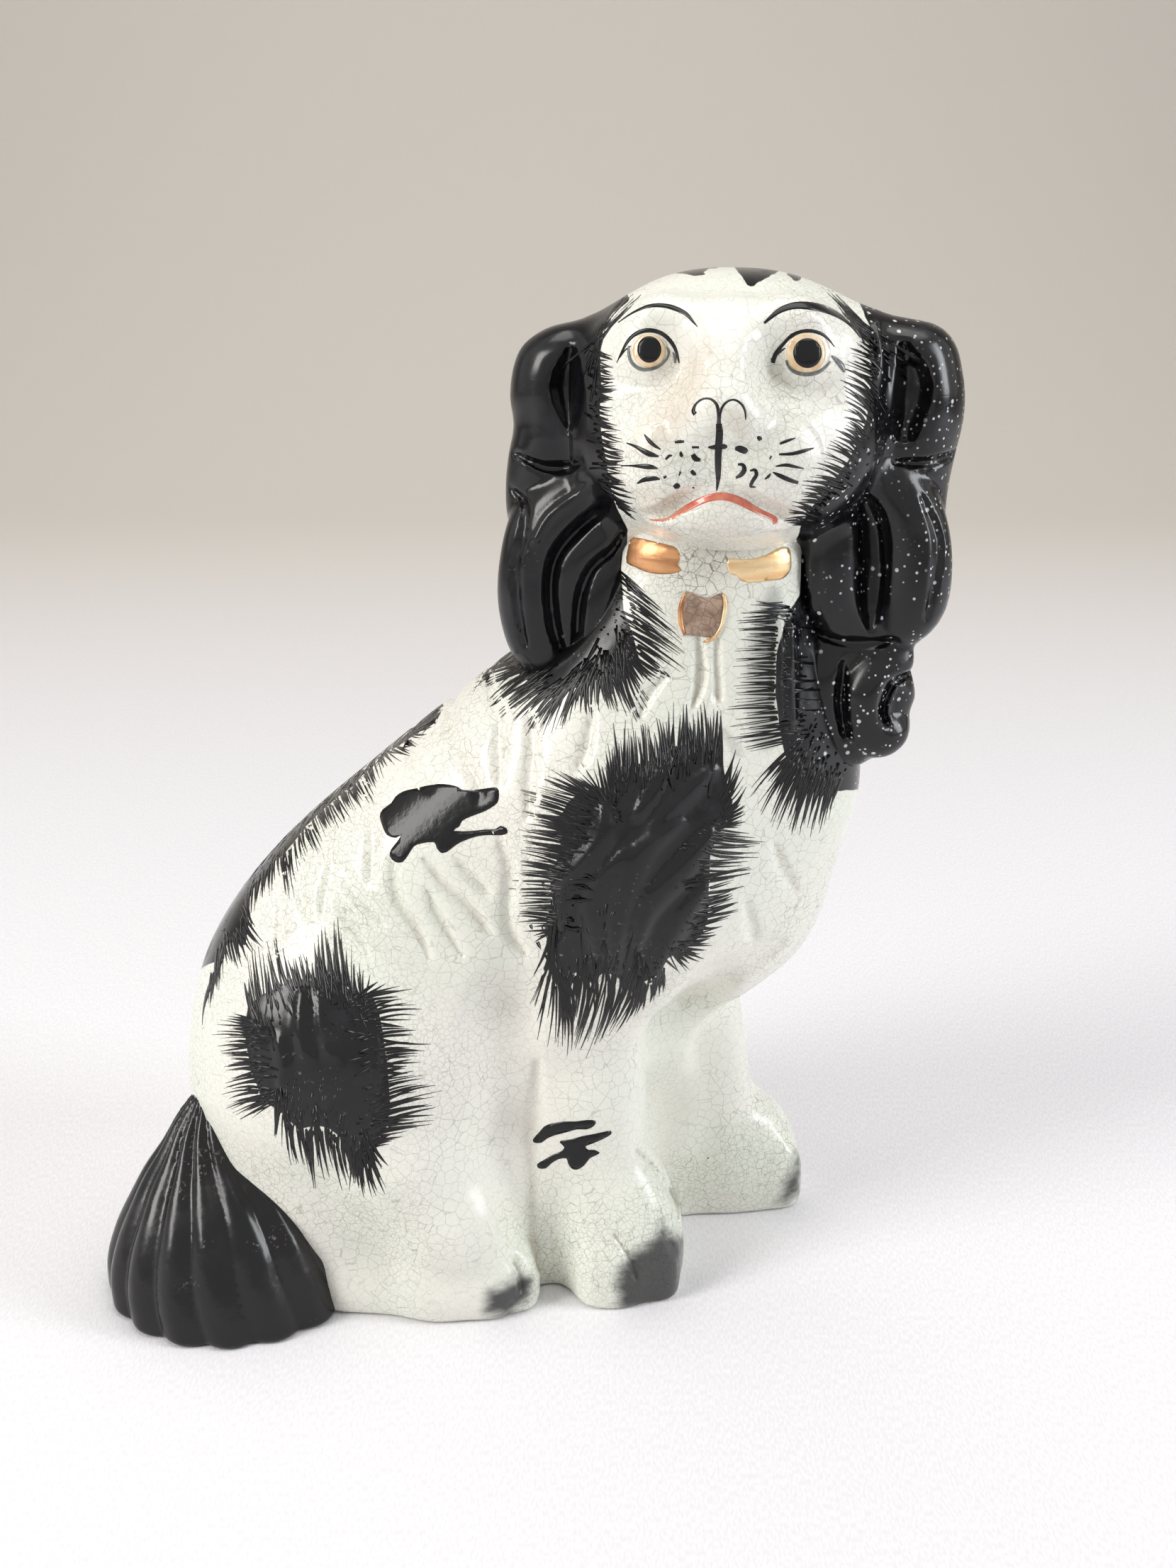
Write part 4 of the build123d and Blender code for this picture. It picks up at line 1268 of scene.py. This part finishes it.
# Spine
# A black band is brushed down the back from the shoulders to the rump, with short hairs at
# its edge. The far side, which the photograph doesn't show, has the same.
spine_hairs = [
    (606, 1008, 626, 986), (598, 1022, 620, 1004), (588, 1036, 600, 1034),
    (570, 1050, 584, 1056), (550, 1060, 568, 1066), (534, 1068, 545, 1086),
    (524, 1078, 536, 1104), (514, 1090, 530, 1122), (504, 1104, 520, 1132),
    (492, 1114, 510, 1140), (482, 1120, 497, 1148), (472, 1128, 488, 1156),
    (462, 1138, 474, 1160), (452, 1146, 466, 1176), (442, 1156, 454, 1188),
    (430, 1170, 446, 1202), (418, 1184, 426, 1216), (408, 1198, 416, 1262),
    (400, 1206, 410, 1264), (390, 1214, 396, 1250), (380, 1224, 376, 1262),
    (370, 1236, 368, 1272), (358, 1246, 356, 1290), (350, 1264, 352, 1304),
    (348, 1290, 368, 1318), (350, 1320, 372, 1340), (334, 1332, 342, 1362),
    (320, 1330, 330, 1362), (312, 1350, 312, 1392), (304, 1374, 300, 1422),
    (294, 1400, 288, 1448)]
shoulder_hairs = [
    (712, 928, 668, 950), (716, 938, 660, 956), (722, 946, 672, 966), (730, 952, 690, 972)]
brush = Brush(body_surface, seed=13)
brush.fringe(spine_hairs, count=156, width=4.0, bend=0.08)
brush.fringe(shoulder_hairs, count=21, width=2.6, bend=0.04)
brush.mirror(spine_y)
brush.piece("spine_hairs", brushed_enamel)

# Fringes under the ears
# Where the ears hang on the neck and the breast, the enamel runs on below them and ends in
# hairs: a fan at the dog's right ear, and a comb and a beard at the left one.
ear_hairs = [
    (730, 952, 700, 975), (738, 958, 696, 998), (748, 966, 702, 1002),
    (758, 972, 716, 1010), (770, 978, 730, 1018), (782, 980, 750, 1028),
    (792, 976, 756, 1040), (802, 972, 778, 1040), (812, 970, 800, 1018),
    (824, 966, 824, 1004), (836, 962, 838, 1008), (848, 960, 856, 996),
    (858, 958, 872, 1002), (868, 956, 890, 1006), (878, 952, 902, 1010),
    (886, 946, 910, 990), (894, 938, 918, 966), (902, 930, 944, 950)]
throat_hairs = [
    (884, 812, 920, 845), (884, 826, 940, 872), (886, 842, 946, 892), (888, 858, 950, 905),
    (892, 874, 958, 920), (896, 890, 950, 930), (900, 906, 960, 950), (902, 924, 940, 955)]
left_ear_comb = [
    (1100, 852, 1070, 846), (1100, 862, 1050, 862), (1098, 872, 1046, 874),
    (1098, 884, 1044, 886), (1098, 898, 1046, 900), (1096, 912, 1044, 914),
    (1096, 926, 1046, 930), (1096, 942, 1042, 944), (1096, 958, 1040, 960),
    (1096, 974, 1036, 976), (1096, 990, 1036, 994), (1098, 1006, 1036, 1012),
    (1100, 1022, 1036, 1030), (1104, 1036, 1040, 1044), (1108, 1048, 1050, 1062)]
left_ear_beard = [
    (1110, 1058, 1070, 1110), (1112, 1074, 1072, 1128), (1114, 1088, 1088, 1150),
    (1122, 1096, 1100, 1156), (1132, 1102, 1114, 1160), (1144, 1106, 1128, 1172),
    (1156, 1110, 1142, 1166), (1168, 1112, 1156, 1176), (1180, 1112, 1170, 1160)]
brush = Brush(body_surface, seed=14)
brush.fringe(ear_hairs, count=109, width=4.6, bend=0.10)
brush.fringe(throat_hairs, count=39, width=4.4, bend=-0.05)
brush.fringe(left_ear_comb, count=81, width=3.6, bend=0.02)
brush.fringe(left_ear_beard, count=57, width=4.4, bend=0.06)
brush.piece("ear_fringes", brushed_enamel)

# Marks on the flank and the near leg
# Three loose marks set down with a full brush, so that the enamel stands up thick on the
# glaze: a large one on the flank, and two dashes across the near leg.
flank_mark = [
    (536, 1152), (540, 1142), (552, 1133), (558, 1124), (568, 1117), (578, 1114), (588, 1112),
    (600, 1109), (618, 1106), (634, 1107), (646, 1110), (652, 1114), (666, 1115), (680, 1113),
    (694, 1111), (702, 1112), (704, 1120), (702, 1132), (692, 1140), (680, 1146), (664, 1152),
    (652, 1158), (648, 1166), (640, 1172), (668, 1172), (684, 1170), (698, 1170), (706, 1165),
    (714, 1168), (716, 1175), (708, 1178), (690, 1178), (672, 1180), (650, 1188), (638, 1196),
    (630, 1202), (622, 1203), (616, 1196), (612, 1188), (594, 1190), (584, 1194), (576, 1206),
    (568, 1216), (558, 1216), (550, 1208), (552, 1198), (560, 1188), (566, 1178), (558, 1182),
    (546, 1178), (540, 1166)]
upper_leg_mark = [
    (754, 1612), (752, 1607), (760, 1598), (768, 1589), (778, 1585), (796, 1582),
    (812, 1582), (828, 1580), (840, 1581), (838, 1588), (828, 1593), (814, 1593),
    (800, 1597), (784, 1601), (772, 1606), (764, 1612)]
lower_leg_mark = [
    (790, 1612), (792, 1609), (806, 1607), (820, 1603), (836, 1600), (850, 1597),
    (861, 1595), (862, 1600), (850, 1607), (836, 1613), (826, 1617), (830, 1622),
    (838, 1622), (846, 1626), (840, 1630), (832, 1634), (824, 1644), (814, 1650),
    (806, 1648), (801, 1640), (799, 1634), (788, 1635), (778, 1641), (770, 1648),
    (760, 1648), (758, 1642), (768, 1636), (780, 1629), (792, 1624), (796, 1618)]
brush = Brush(body_surface, lift=0.14)
for mark in (flank_mark, upper_leg_mark, lower_leg_mark):
    brush.blot(mark, steps=2)
brush.piece("flank_and_leg_marks", brushed_enamel)

# Lines of the face
# The brows, lids, nose, whiskers and freckles are drawn with a fine brush in the same enamel.
# Each line is points (u, v, half width), pressed harder where it is wider.
brows = (
    [(872, 455, 0.6), (893, 441, 1.4), (915, 432, 2.4), (935, 431, 3.0), (952, 435, 3.4),
     (968, 443, 2.8), (977, 453, 1.8), (984, 461, 0.5)],
    [(1078, 456, 1.6), (1088, 447, 2.8), (1102, 437, 4.0), (1122, 431, 5.0),
     (1145, 432, 5.6), (1166, 437, 5.2), (1184, 446, 3.6), (1200, 459, 1.8),
     (1213, 475, 1.2), (1226, 492, 0.6)])
upper_lids = (
    [(870, 512, 0.5), (877, 497, 1.4), (886, 481, 2.2), (897, 471, 2.8), (912, 466, 3.2),
     (928, 468, 3.0), (941, 476, 3.0), (951, 489, 2.6), (956, 503, 1.8), (958, 512, 0.8)],
    [(1090, 512, 3.0), (1094, 500, 3.2), (1104, 486, 2.6), (1118, 473, 3.0),
     (1138, 467, 3.2), (1156, 470, 2.6), (1168, 478, 1.6), (1177, 489, 0.5)],
    [(1088, 508, 1.4), (1096, 499, 2.4), (1108, 491, 0.8)],
    [(874, 505, 0.6), (882, 494, 1.0), (890, 488, 0.6)])
nose_lines = (
    [(981, 584, 3.4), (978, 580, 2.6), (981, 571, 1.6), (989, 564, 1.5), (998, 562, 1.5),
     (1006, 565, 1.8), (1012, 573, 2.4), (1014, 588, 2.6), (1014, 602, 3.4)],
    [(1052, 592, 0.8), (1051, 580, 1.4), (1046, 570, 1.6), (1036, 564, 1.4),
     (1027, 566, 1.4), (1019, 574, 1.8), (1015, 586, 2.4), (1014, 602, 3.0)],
    [(1014, 598, 4.2), (1015, 610, 5.0), (1014, 626, 5.2), (1013, 645, 4.8),
     (1013, 662, 4.4), (1013, 676, 3.0), (1011, 692, 0.8)],
    [(999, 631, 1.2), (1006, 631, 3.0), (1014, 630, 3.6), (1022, 630, 3.4),
     (1026, 630, 1.4)])
near_whiskers = (
    [(909, 613, 0.8), (916, 622, 2.8), (924, 629, 2.4), (932, 634, 0.8)],
    [(884, 625, 0.8), (897, 630, 2.2), (913, 639, 4.0), (922, 642, 3.0), (929, 644, 1.0)],
    [(876, 657, 0.8), (892, 657, 1.4), (910, 658, 3.6), (920, 659, 3.0), (928, 661, 0.8)],
    [(899, 682, 1.0), (908, 677, 3.0), (919, 675, 3.4), (926, 675, 2.6), (931, 676, 1.0)])
freckles = (
    [(952, 624, 1.6), (958, 623, 2.4), (965, 623, 1.4)],
    [(976, 631, 1.6), (986, 631, 1.6)], [(939, 648, 1.6), (944, 643, 2.0), (948, 643, 1.0)],
    [(960, 637, 1.2), (961, 642, 2.6), (963, 644, 1.8)],
    [(977, 641, 3.0), (981, 647, 4.0), (988, 649, 2.0)], [(936, 674, 2.0), (940, 672, 1.8)],
    [(958, 671, 0.8), (960, 665, 1.4)], [(975, 664, 2.4), (979, 668, 3.0), (982, 669, 1.2)],
    [(951, 688, 2.6), (955, 685, 3.8), (958, 688, 2.6)], [(977, 688, 1.2), (979, 688, 1.2)],
    [(1037, 633, 2.2), (1043, 633, 4.6), (1051, 636, 4.6), (1054, 638, 2.6)],
    [(1068, 617, 1.4), (1071, 618, 3.4), (1073, 621, 2.6)],
    [(1041, 655, 1.6), (1048, 656, 2.6), (1050, 663, 3.4), (1045, 670, 3.2),
     (1038, 674, 1.4)],
    [(1058, 664, 1.2), (1065, 663, 2.4), (1067, 670, 2.8), (1062, 678, 2.6),
     (1059, 686, 2.2), (1066, 687, 0.8)],
    [(1079, 676, 0.8), (1084, 672, 2.0), (1087, 668, 1.0)],
    [(1086, 648, 0.8), (1088, 643, 1.6)])
far_whiskers = (
    [(1100, 626, 1.6), (1110, 622, 2.2), (1122, 618, 0.8)],
    [(1099, 641, 1.4), (1118, 640, 2.6), (1134, 636, 2.6), (1148, 632, 0.8)],
    [(1094, 658, 0.8), (1108, 656, 2.4), (1120, 658, 2.2), (1134, 661, 0.8)],
    [(1090, 666, 0.8), (1100, 671, 3.0), (1114, 677, 3.2), (1126, 681, 2.2)])
brush = Brush(head_surface, lift=0.08)
for lines in (brows, upper_lids, nose_lines, near_whiskers, freckles, far_whiskers):
    for line in lines:
        brush.stroke(line)
brush.piece("face_lines", brushed_enamel)

# Border of the face
# The black of the ears and the crown is feathered into the face with short hairs, which the
# painter pulled inwards from both sides.
near_border = [
    (846, 496, 862, 500), (846, 512, 862, 514), (848, 528, 862, 528), (848, 544, 872, 540),
    (846, 560, 864, 560), (846, 576, 860, 578), (848, 592, 866, 598), (850, 606, 878, 610),
    (854, 622, 876, 626), (856, 636, 878, 638), (858, 650, 878, 650), (861, 666, 880, 668),
    (865, 682, 888, 688), (869, 698, 892, 706), (874, 712, 896, 722), (880, 722, 898, 732)]
far_border = [
    (1230, 496, 1206, 482), (1231, 510, 1202, 500), (1230, 524, 1198, 512),
    (1228, 540, 1194, 524), (1226, 554, 1190, 540), (1222, 568, 1190, 550),
    (1220, 582, 1194, 568), (1216, 596, 1192, 586), (1212, 612, 1186, 600),
    (1206, 628, 1178, 616), (1198, 644, 1170, 634), (1188, 660, 1156, 652),
    (1178, 674, 1146, 668), (1168, 686, 1138, 682), (1158, 698, 1132, 694),
    (1150, 708, 1126, 706), (1142, 720, 1118, 716), (1136, 730, 1112, 732),
    (1130, 742, 1108, 744)]
far_temple = [
    (1228, 462, 1168, 404), (1230, 470, 1176, 416), (1230, 478, 1184, 424),
    (1228, 486, 1196, 440)]
near_temple = [(842, 474, 892, 420), (843, 480, 900, 424), (846, 486, 896, 434)]
brush = Brush(head_surface, lift=0.09, seed=15)
brush.fringe(near_border, count=75, width=4.0, bend=0.10, ragged=0.2)
brush.fringe(far_border, count=86, width=4.4, bend=0.14, ragged=0.2)
brush.fringe(far_temple, count=17, width=3.4, bend=-0.07, ragged=0.12)
brush.fringe(near_temple, count=14, width=2.6, bend=-0.22, ragged=0.1)
brush.piece("face_border_hairs", brushed_enamel)

# Eyes
# Each eye is painted in layers: an off-white oval, a buff iris, a black pupil, and grey lines
# for the lower lid. The enamels are glossy, and lie a little over each other.
lower_lids = (
    [(887, 488, 0.8), (887, 498, 1.8), (891, 511, 2.2), (902, 520, 2.4), (916, 521, 2.2),
     (930, 516, 2.2), (940, 506, 2.0), (943, 496, 2.0), (940, 489, 1.0)],
    [(949, 497, 0.8), (952, 504, 2.2), (952, 512, 1.4)],
    [(1109, 508, 1.4), (1112, 516, 1.8), (1120, 524, 2.4), (1135, 528, 2.6),
     (1151, 526, 2.6), (1163, 519, 2.0), (1171, 510, 1.4)],
    [(1173, 502, 1.0), (1180, 508, 3.2), (1187, 516, 4.0), (1191, 525, 1.2)])
lid_height = 0.24


def soft_paint(name, tone, glow):
    """A glossy enamel that goes from one tone to another in patches."""
    finish = Finish(name, IOR=1.5, Coat_Weight=1.0, Coat_Roughness=0.03)
    return finish.paint(Base_Color=finish.mix(finish.noise(350.0, 3.0).step(0.35, 0.7), tone, glow),
                        Roughness=0.22 + finish.noise(200.0) * 0.1)


def oval(centre, across, down, count=14):
    """The pixels round an oval."""
    return [(centre[0] + across * math.cos(2 * math.pi * i / count),
             centre[1] + down * math.sin(2 * math.pi * i / count)) for i in range(count)]


eye_white = soft_paint("eye_white", colour(244, 240, 228), colour(232, 222, 204))
iris_buff = soft_paint("iris_buff", colour(240, 220, 186), colour(222, 186, 140))
lid_grey = soft_paint("lid_grey", colour(112, 116, 112), colour(70, 74, 74))
eye_layers = (
    # piece, paint, height over the glaze, then each eye's centre, half width and half height
    ("eye_whites", eye_white, 0.05, ((916, 495), 27, 26), ((1139, 497), 33, 31)),
    ("irises", iris_buff, 0.11, ((916, 495), 23.5, 24), ((1137, 498), 28, 28.5)),
    ("pupils", brushed_enamel, 0.24, ((916, 493), 16.8, 18.6), ((1139, 498), 20, 21)))
for name, paint, height, *eyes in eye_layers:
    brush = Brush(head_surface, lift=height)
    for eye in eyes:
        brush.blot(oval(*eye), gap=4.0)
    brush.piece(name, paint)
brush = Brush(head_surface, lift=lid_height)
for line in lower_lids:
    brush.stroke(line)
brush.piece("lower_lids", lid_grey)

# Mouth
# One bowed stroke of red enamel lies in the mouth's groove, widest in the middle. It is the
# only red on the figure.
mouth_stroke = [
    (917, 733, 0.8), (930, 734, 1.6), (943, 732, 2.8), (957, 724, 3.8), (972, 715, 4.6),
    (988, 707, 5.0), (1003, 702, 5.2), (1018, 700, 5.6), (1034, 703, 5.6), (1050, 710, 5.4),
    (1064, 718, 4.6), (1077, 724, 3.6), (1088, 729, 3.8), (1094, 734, 3.8), (1091, 739, 1.6)]
brush = Brush(head_surface, lift=0.1)
brush.stroke(mouth_stroke)
mouth_red = soft_paint("mouth_red", colour(212, 100, 76), colour(232, 142, 112))
brush.piece("mouth_line", mouth_red, "cream_glaze")

# Collar
# A low strap of clay round the front of the neck, gilded in two lengths with the throat's
# glaze bare between them. The gold is thin and rubbed, redder on the near length.
near_length = [
    (889, 762), (895, 758), (912, 761), (932, 766), (950, 771), (957, 777), (960, 787),
    (956, 797), (962, 804), (950, 809), (930, 810), (912, 807), (896, 800), (884, 794),
    (885, 778)]
far_length = [
    (1027, 788), (1045, 789), (1062, 788), (1080, 783), (1095, 775), (1107, 771),
    (1114, 775), (1116, 788), (1116, 802), (1109, 813), (1100, 818), (1080, 820),
    (1060, 822), (1045, 819), (1040, 812), (1028, 808)]
length_border = (0.052, 0.060)
near_gold, far_gold = colour(222, 166, 116), colour(255, 234, 190)
near_rubbed, far_rubbed = colour(164, 112, 76), colour(230, 186, 130)
bare_brown = colour(120, 86, 60)
finish = Finish("worn_gilding", Metallic=0.6, IOR=1.5)
wear = finish.noise(240.0, 4.0, 0.6)
sweep = finish.noise(90.0, 3.0, stretch=(0.3, 1.0, 2.5))
far = finish.node("ShaderNodeSeparateXYZ", {}, {0: finish.place}).step(*length_border)
gold = finish.mix(sweep.step(0.35, 0.65), finish.mix(far, near_gold, far_gold),
                  finish.mix(far, near_rubbed, far_rubbed))
gilding = finish.paint(Base_Color=finish.mix(wear.step(0.62, 0.72) * 0.6, gold, bare_brown),
                       Roughness=0.2 + wear * 0.2, Normal=finish.bump(sweep + wear * 0.3, 0.0006, 0.5))
brush = Brush(body_surface, lift=0.09)
brush.blot(near_length, steps=2, gap=4.0)
brush.blot(far_length, steps=2, gap=4.0)
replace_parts(brush.piece("collar_gilding", gilding, "gilding"), "collar")

# Locket
# A small plate of clay under the collar, once gilded all over. Its face has worn to a dull
# crazed brown, and gold is left at its two sides.
locket_outline = [
    (968, 834), (985, 840), (1002, 843), (1018, 836), (1020, 850), (1018, 872),
    (1013, 890), (1004, 899), (985, 897), (970, 896), (964, 884), (962, 866),
    (964, 848)]
gilt_edges = (
    [(967, 836, 1.0), (963, 848, 3.2), (960, 862, 3.4), (961, 880, 3.2), (966, 896, 1.6)],
    [(1020, 838, 1.6), (1023, 852, 2.8), (1021, 868, 2.8), (1016, 886, 2.2),
     (1006, 900, 2.6), (994, 905, 1.4)])
plate_height, edge_height = 0.5, 0.7
finish = Finish("worn_locket", IOR=1.5, Coat_Weight=0.8, Coat_Roughness=0.05)
wear = finish.noise(260.0, 4.0, 0.6)
tint = finish.mix(wear.step(0.35, 0.65), colour(176, 150, 130), colour(140, 112, 92))
tint = finish.mix(finish.cracks(420.0, 0.08) * 0.5, tint, colour(84, 74, 66))
locket_face = finish.paint(Base_Color=tint, Roughness=0.3 + wear * 0.15,
                           Normal=finish.bump(wear, 0.0004, 0.4))
brush = Brush(body_surface, lift=plate_height)
brush.blot(locket_outline, steps=2, gap=4.0)
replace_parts(brush.piece("locket_plate", locket_face, "gilding"), "locket")
brush = Brush(body_surface, lift=edge_height)
for edge in gilt_edges:
    brush.stroke(edge)
brush.piece("locket_gilt_edges", gilding, "gilding")

# Base slab
# The underside is closed by a flat slab with a vent hole, wiped free of glaze so that it
# doesn't stick to the kiln shelf. It shows bare biscuit.
finish = Finish("biscuit", IOR=1.45)
dirt = finish.noise(45.0, 5.0, 0.6)
grain = finish.noise(900.0, 3.0, 0.6)
ware = finish.mix(dirt.step(0.4, 0.7), colour(226, 214, 190), colour(196, 178, 148))
ware = finish.mix(grain.step(0.55, 0.8) * 0.4, ware, colour(160, 142, 116))
biscuit = finish.paint(Base_Color=ware, Roughness=0.75 + grain * 0.15,
                       Normal=finish.bump(grain + dirt, 0.0003, 0.6))
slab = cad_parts["base_slab"]
slab.data.materials.clear()
slab.data.materials.append(biscuit)

# Stage
# A plain pale sweep, level where the figure stands, that curves up behind it into a wall.
# It is matt and nearly white, with a fine grain, so that the figure's own colours show.
floor_front, floor_back, wall_top, floor_half = -3.0, 1.2, 4.0, 4.0
sweep_radius = 1.0
profile = [(floor_front, 0.0), (0.0, 0.0)]
profile += [(floor_back + sweep_radius * math.sin(angle),
             sweep_radius * (1 - math.cos(angle)))
            for angle in np.linspace(0, math.pi / 2, 24)]
profile.append((floor_back + sweep_radius, wall_top))
points = [(side * floor_half, y, z) for y, z in profile for side in (-1, 1)]
faces = [(2 * i, 2 * i + 1, 2 * i + 3, 2 * i + 2) for i in range(len(profile) - 1)]
floor_mesh = bpy.data.meshes.new("floor")
floor_mesh.from_pydata(points, [], faces)
floor_mesh.polygons.foreach_set("use_smooth", np.ones(len(faces), bool))
floor = bpy.data.objects.new("floor", floor_mesh)
bpy.context.scene.collection.objects.link(floor)
finish = Finish("pale_sweep", Roughness=0.95, Specular_IOR_Level=0.1)
behind = finish.node("ShaderNodeSeparateXYZ", {}, {0: finish.place}, "Y")
grain = finish.noise(1500.0, 2.0, stretch=(1.0, 0.3, 1.0))
level = finish.mix(grain.step(0.3, 0.7), colour(232, 230, 234), colour(242, 240, 243))
shade = finish.mix(behind.step(0.35, 1.3), level, colour(240, 234, 226))
floor.data.materials.append(finish.paint(Base_Color=shade, Normal=finish.bump(grain, 0.0004, 0.3)))

# Lights
# Two large soft lamps stand at the sides and one hangs above, all aimed at the figure's
# middle. The world adds a low even light, and shows pale to the camera and in reflections.
lamps = (
    # name, place, width, height, power, tint
    ("left", (-1.3, -0.7, 1.0), 0.6, 1.2, 22, (1, 0.985, 0.96)),
    ("right", (1.4, -0.3, 0.7), 0.4, 1.1, 13, (0.93, 0.97, 1)),
    ("above", (0.1, 0.1, 1.8), 1.6, 1.2, 16, (1, 0.99, 0.97)))
aim = Vector((0.02, 0, 0.16))
even_light, backdrop_light = 0.2, 0.8
for name, place, width, height, power, tint in lamps:
    data = bpy.data.lights.new(name, "AREA")
    data.shape, data.size, data.size_y = "RECTANGLE", width, height
    data.energy, data.color = power, tint
    lamp = bpy.data.objects.new(name, data)
    lamp.location = place
    lamp.rotation_euler = (aim - Vector(place)).to_track_quat("-Z", "Y").to_euler()
    bpy.context.scene.collection.objects.link(lamp)
world = bpy.data.worlds.new("studio")
bpy.context.scene.world = world
world.use_nodes = True
sky = Nodes(world.node_tree)
camera_ray, glossy_ray, transmission_ray = (
    sky.node("ShaderNodeLightPath", {}, {}, f"Is {kind} Ray")
    for kind in ("Camera", "Glossy", "Transmission"))
shown = camera_ray.most(glossy_ray).most(transmission_ray)
background = world.node_tree.nodes["Background"]
background.inputs["Color"].default_value = (0.95, 0.93, 0.9, 1)
sky.link(even_light + shown * (backdrop_light - even_light), background.inputs["Strength"])

# Camera
# It stands half a metre in front of the figure, just above its head, and looks down by
# twenty degrees. The lens is worked out from the photograph's own field of view.
camera_data = bpy.data.cameras.new("camera")
camera_data.sensor_width = 36.0
camera_data.lens = focal_pixels / photo_height * camera_data.sensor_width
camera = bpy.data.objects.new("camera", camera_data)
camera.location = camera_place * metre
camera.rotation_euler = (math.pi / 2 - camera_pitch, 0, 0)
bpy.context.scene.collection.objects.link(camera)
bpy.context.scene.camera = camera
bpy.context.scene.view_settings.view_transform = "Standard"
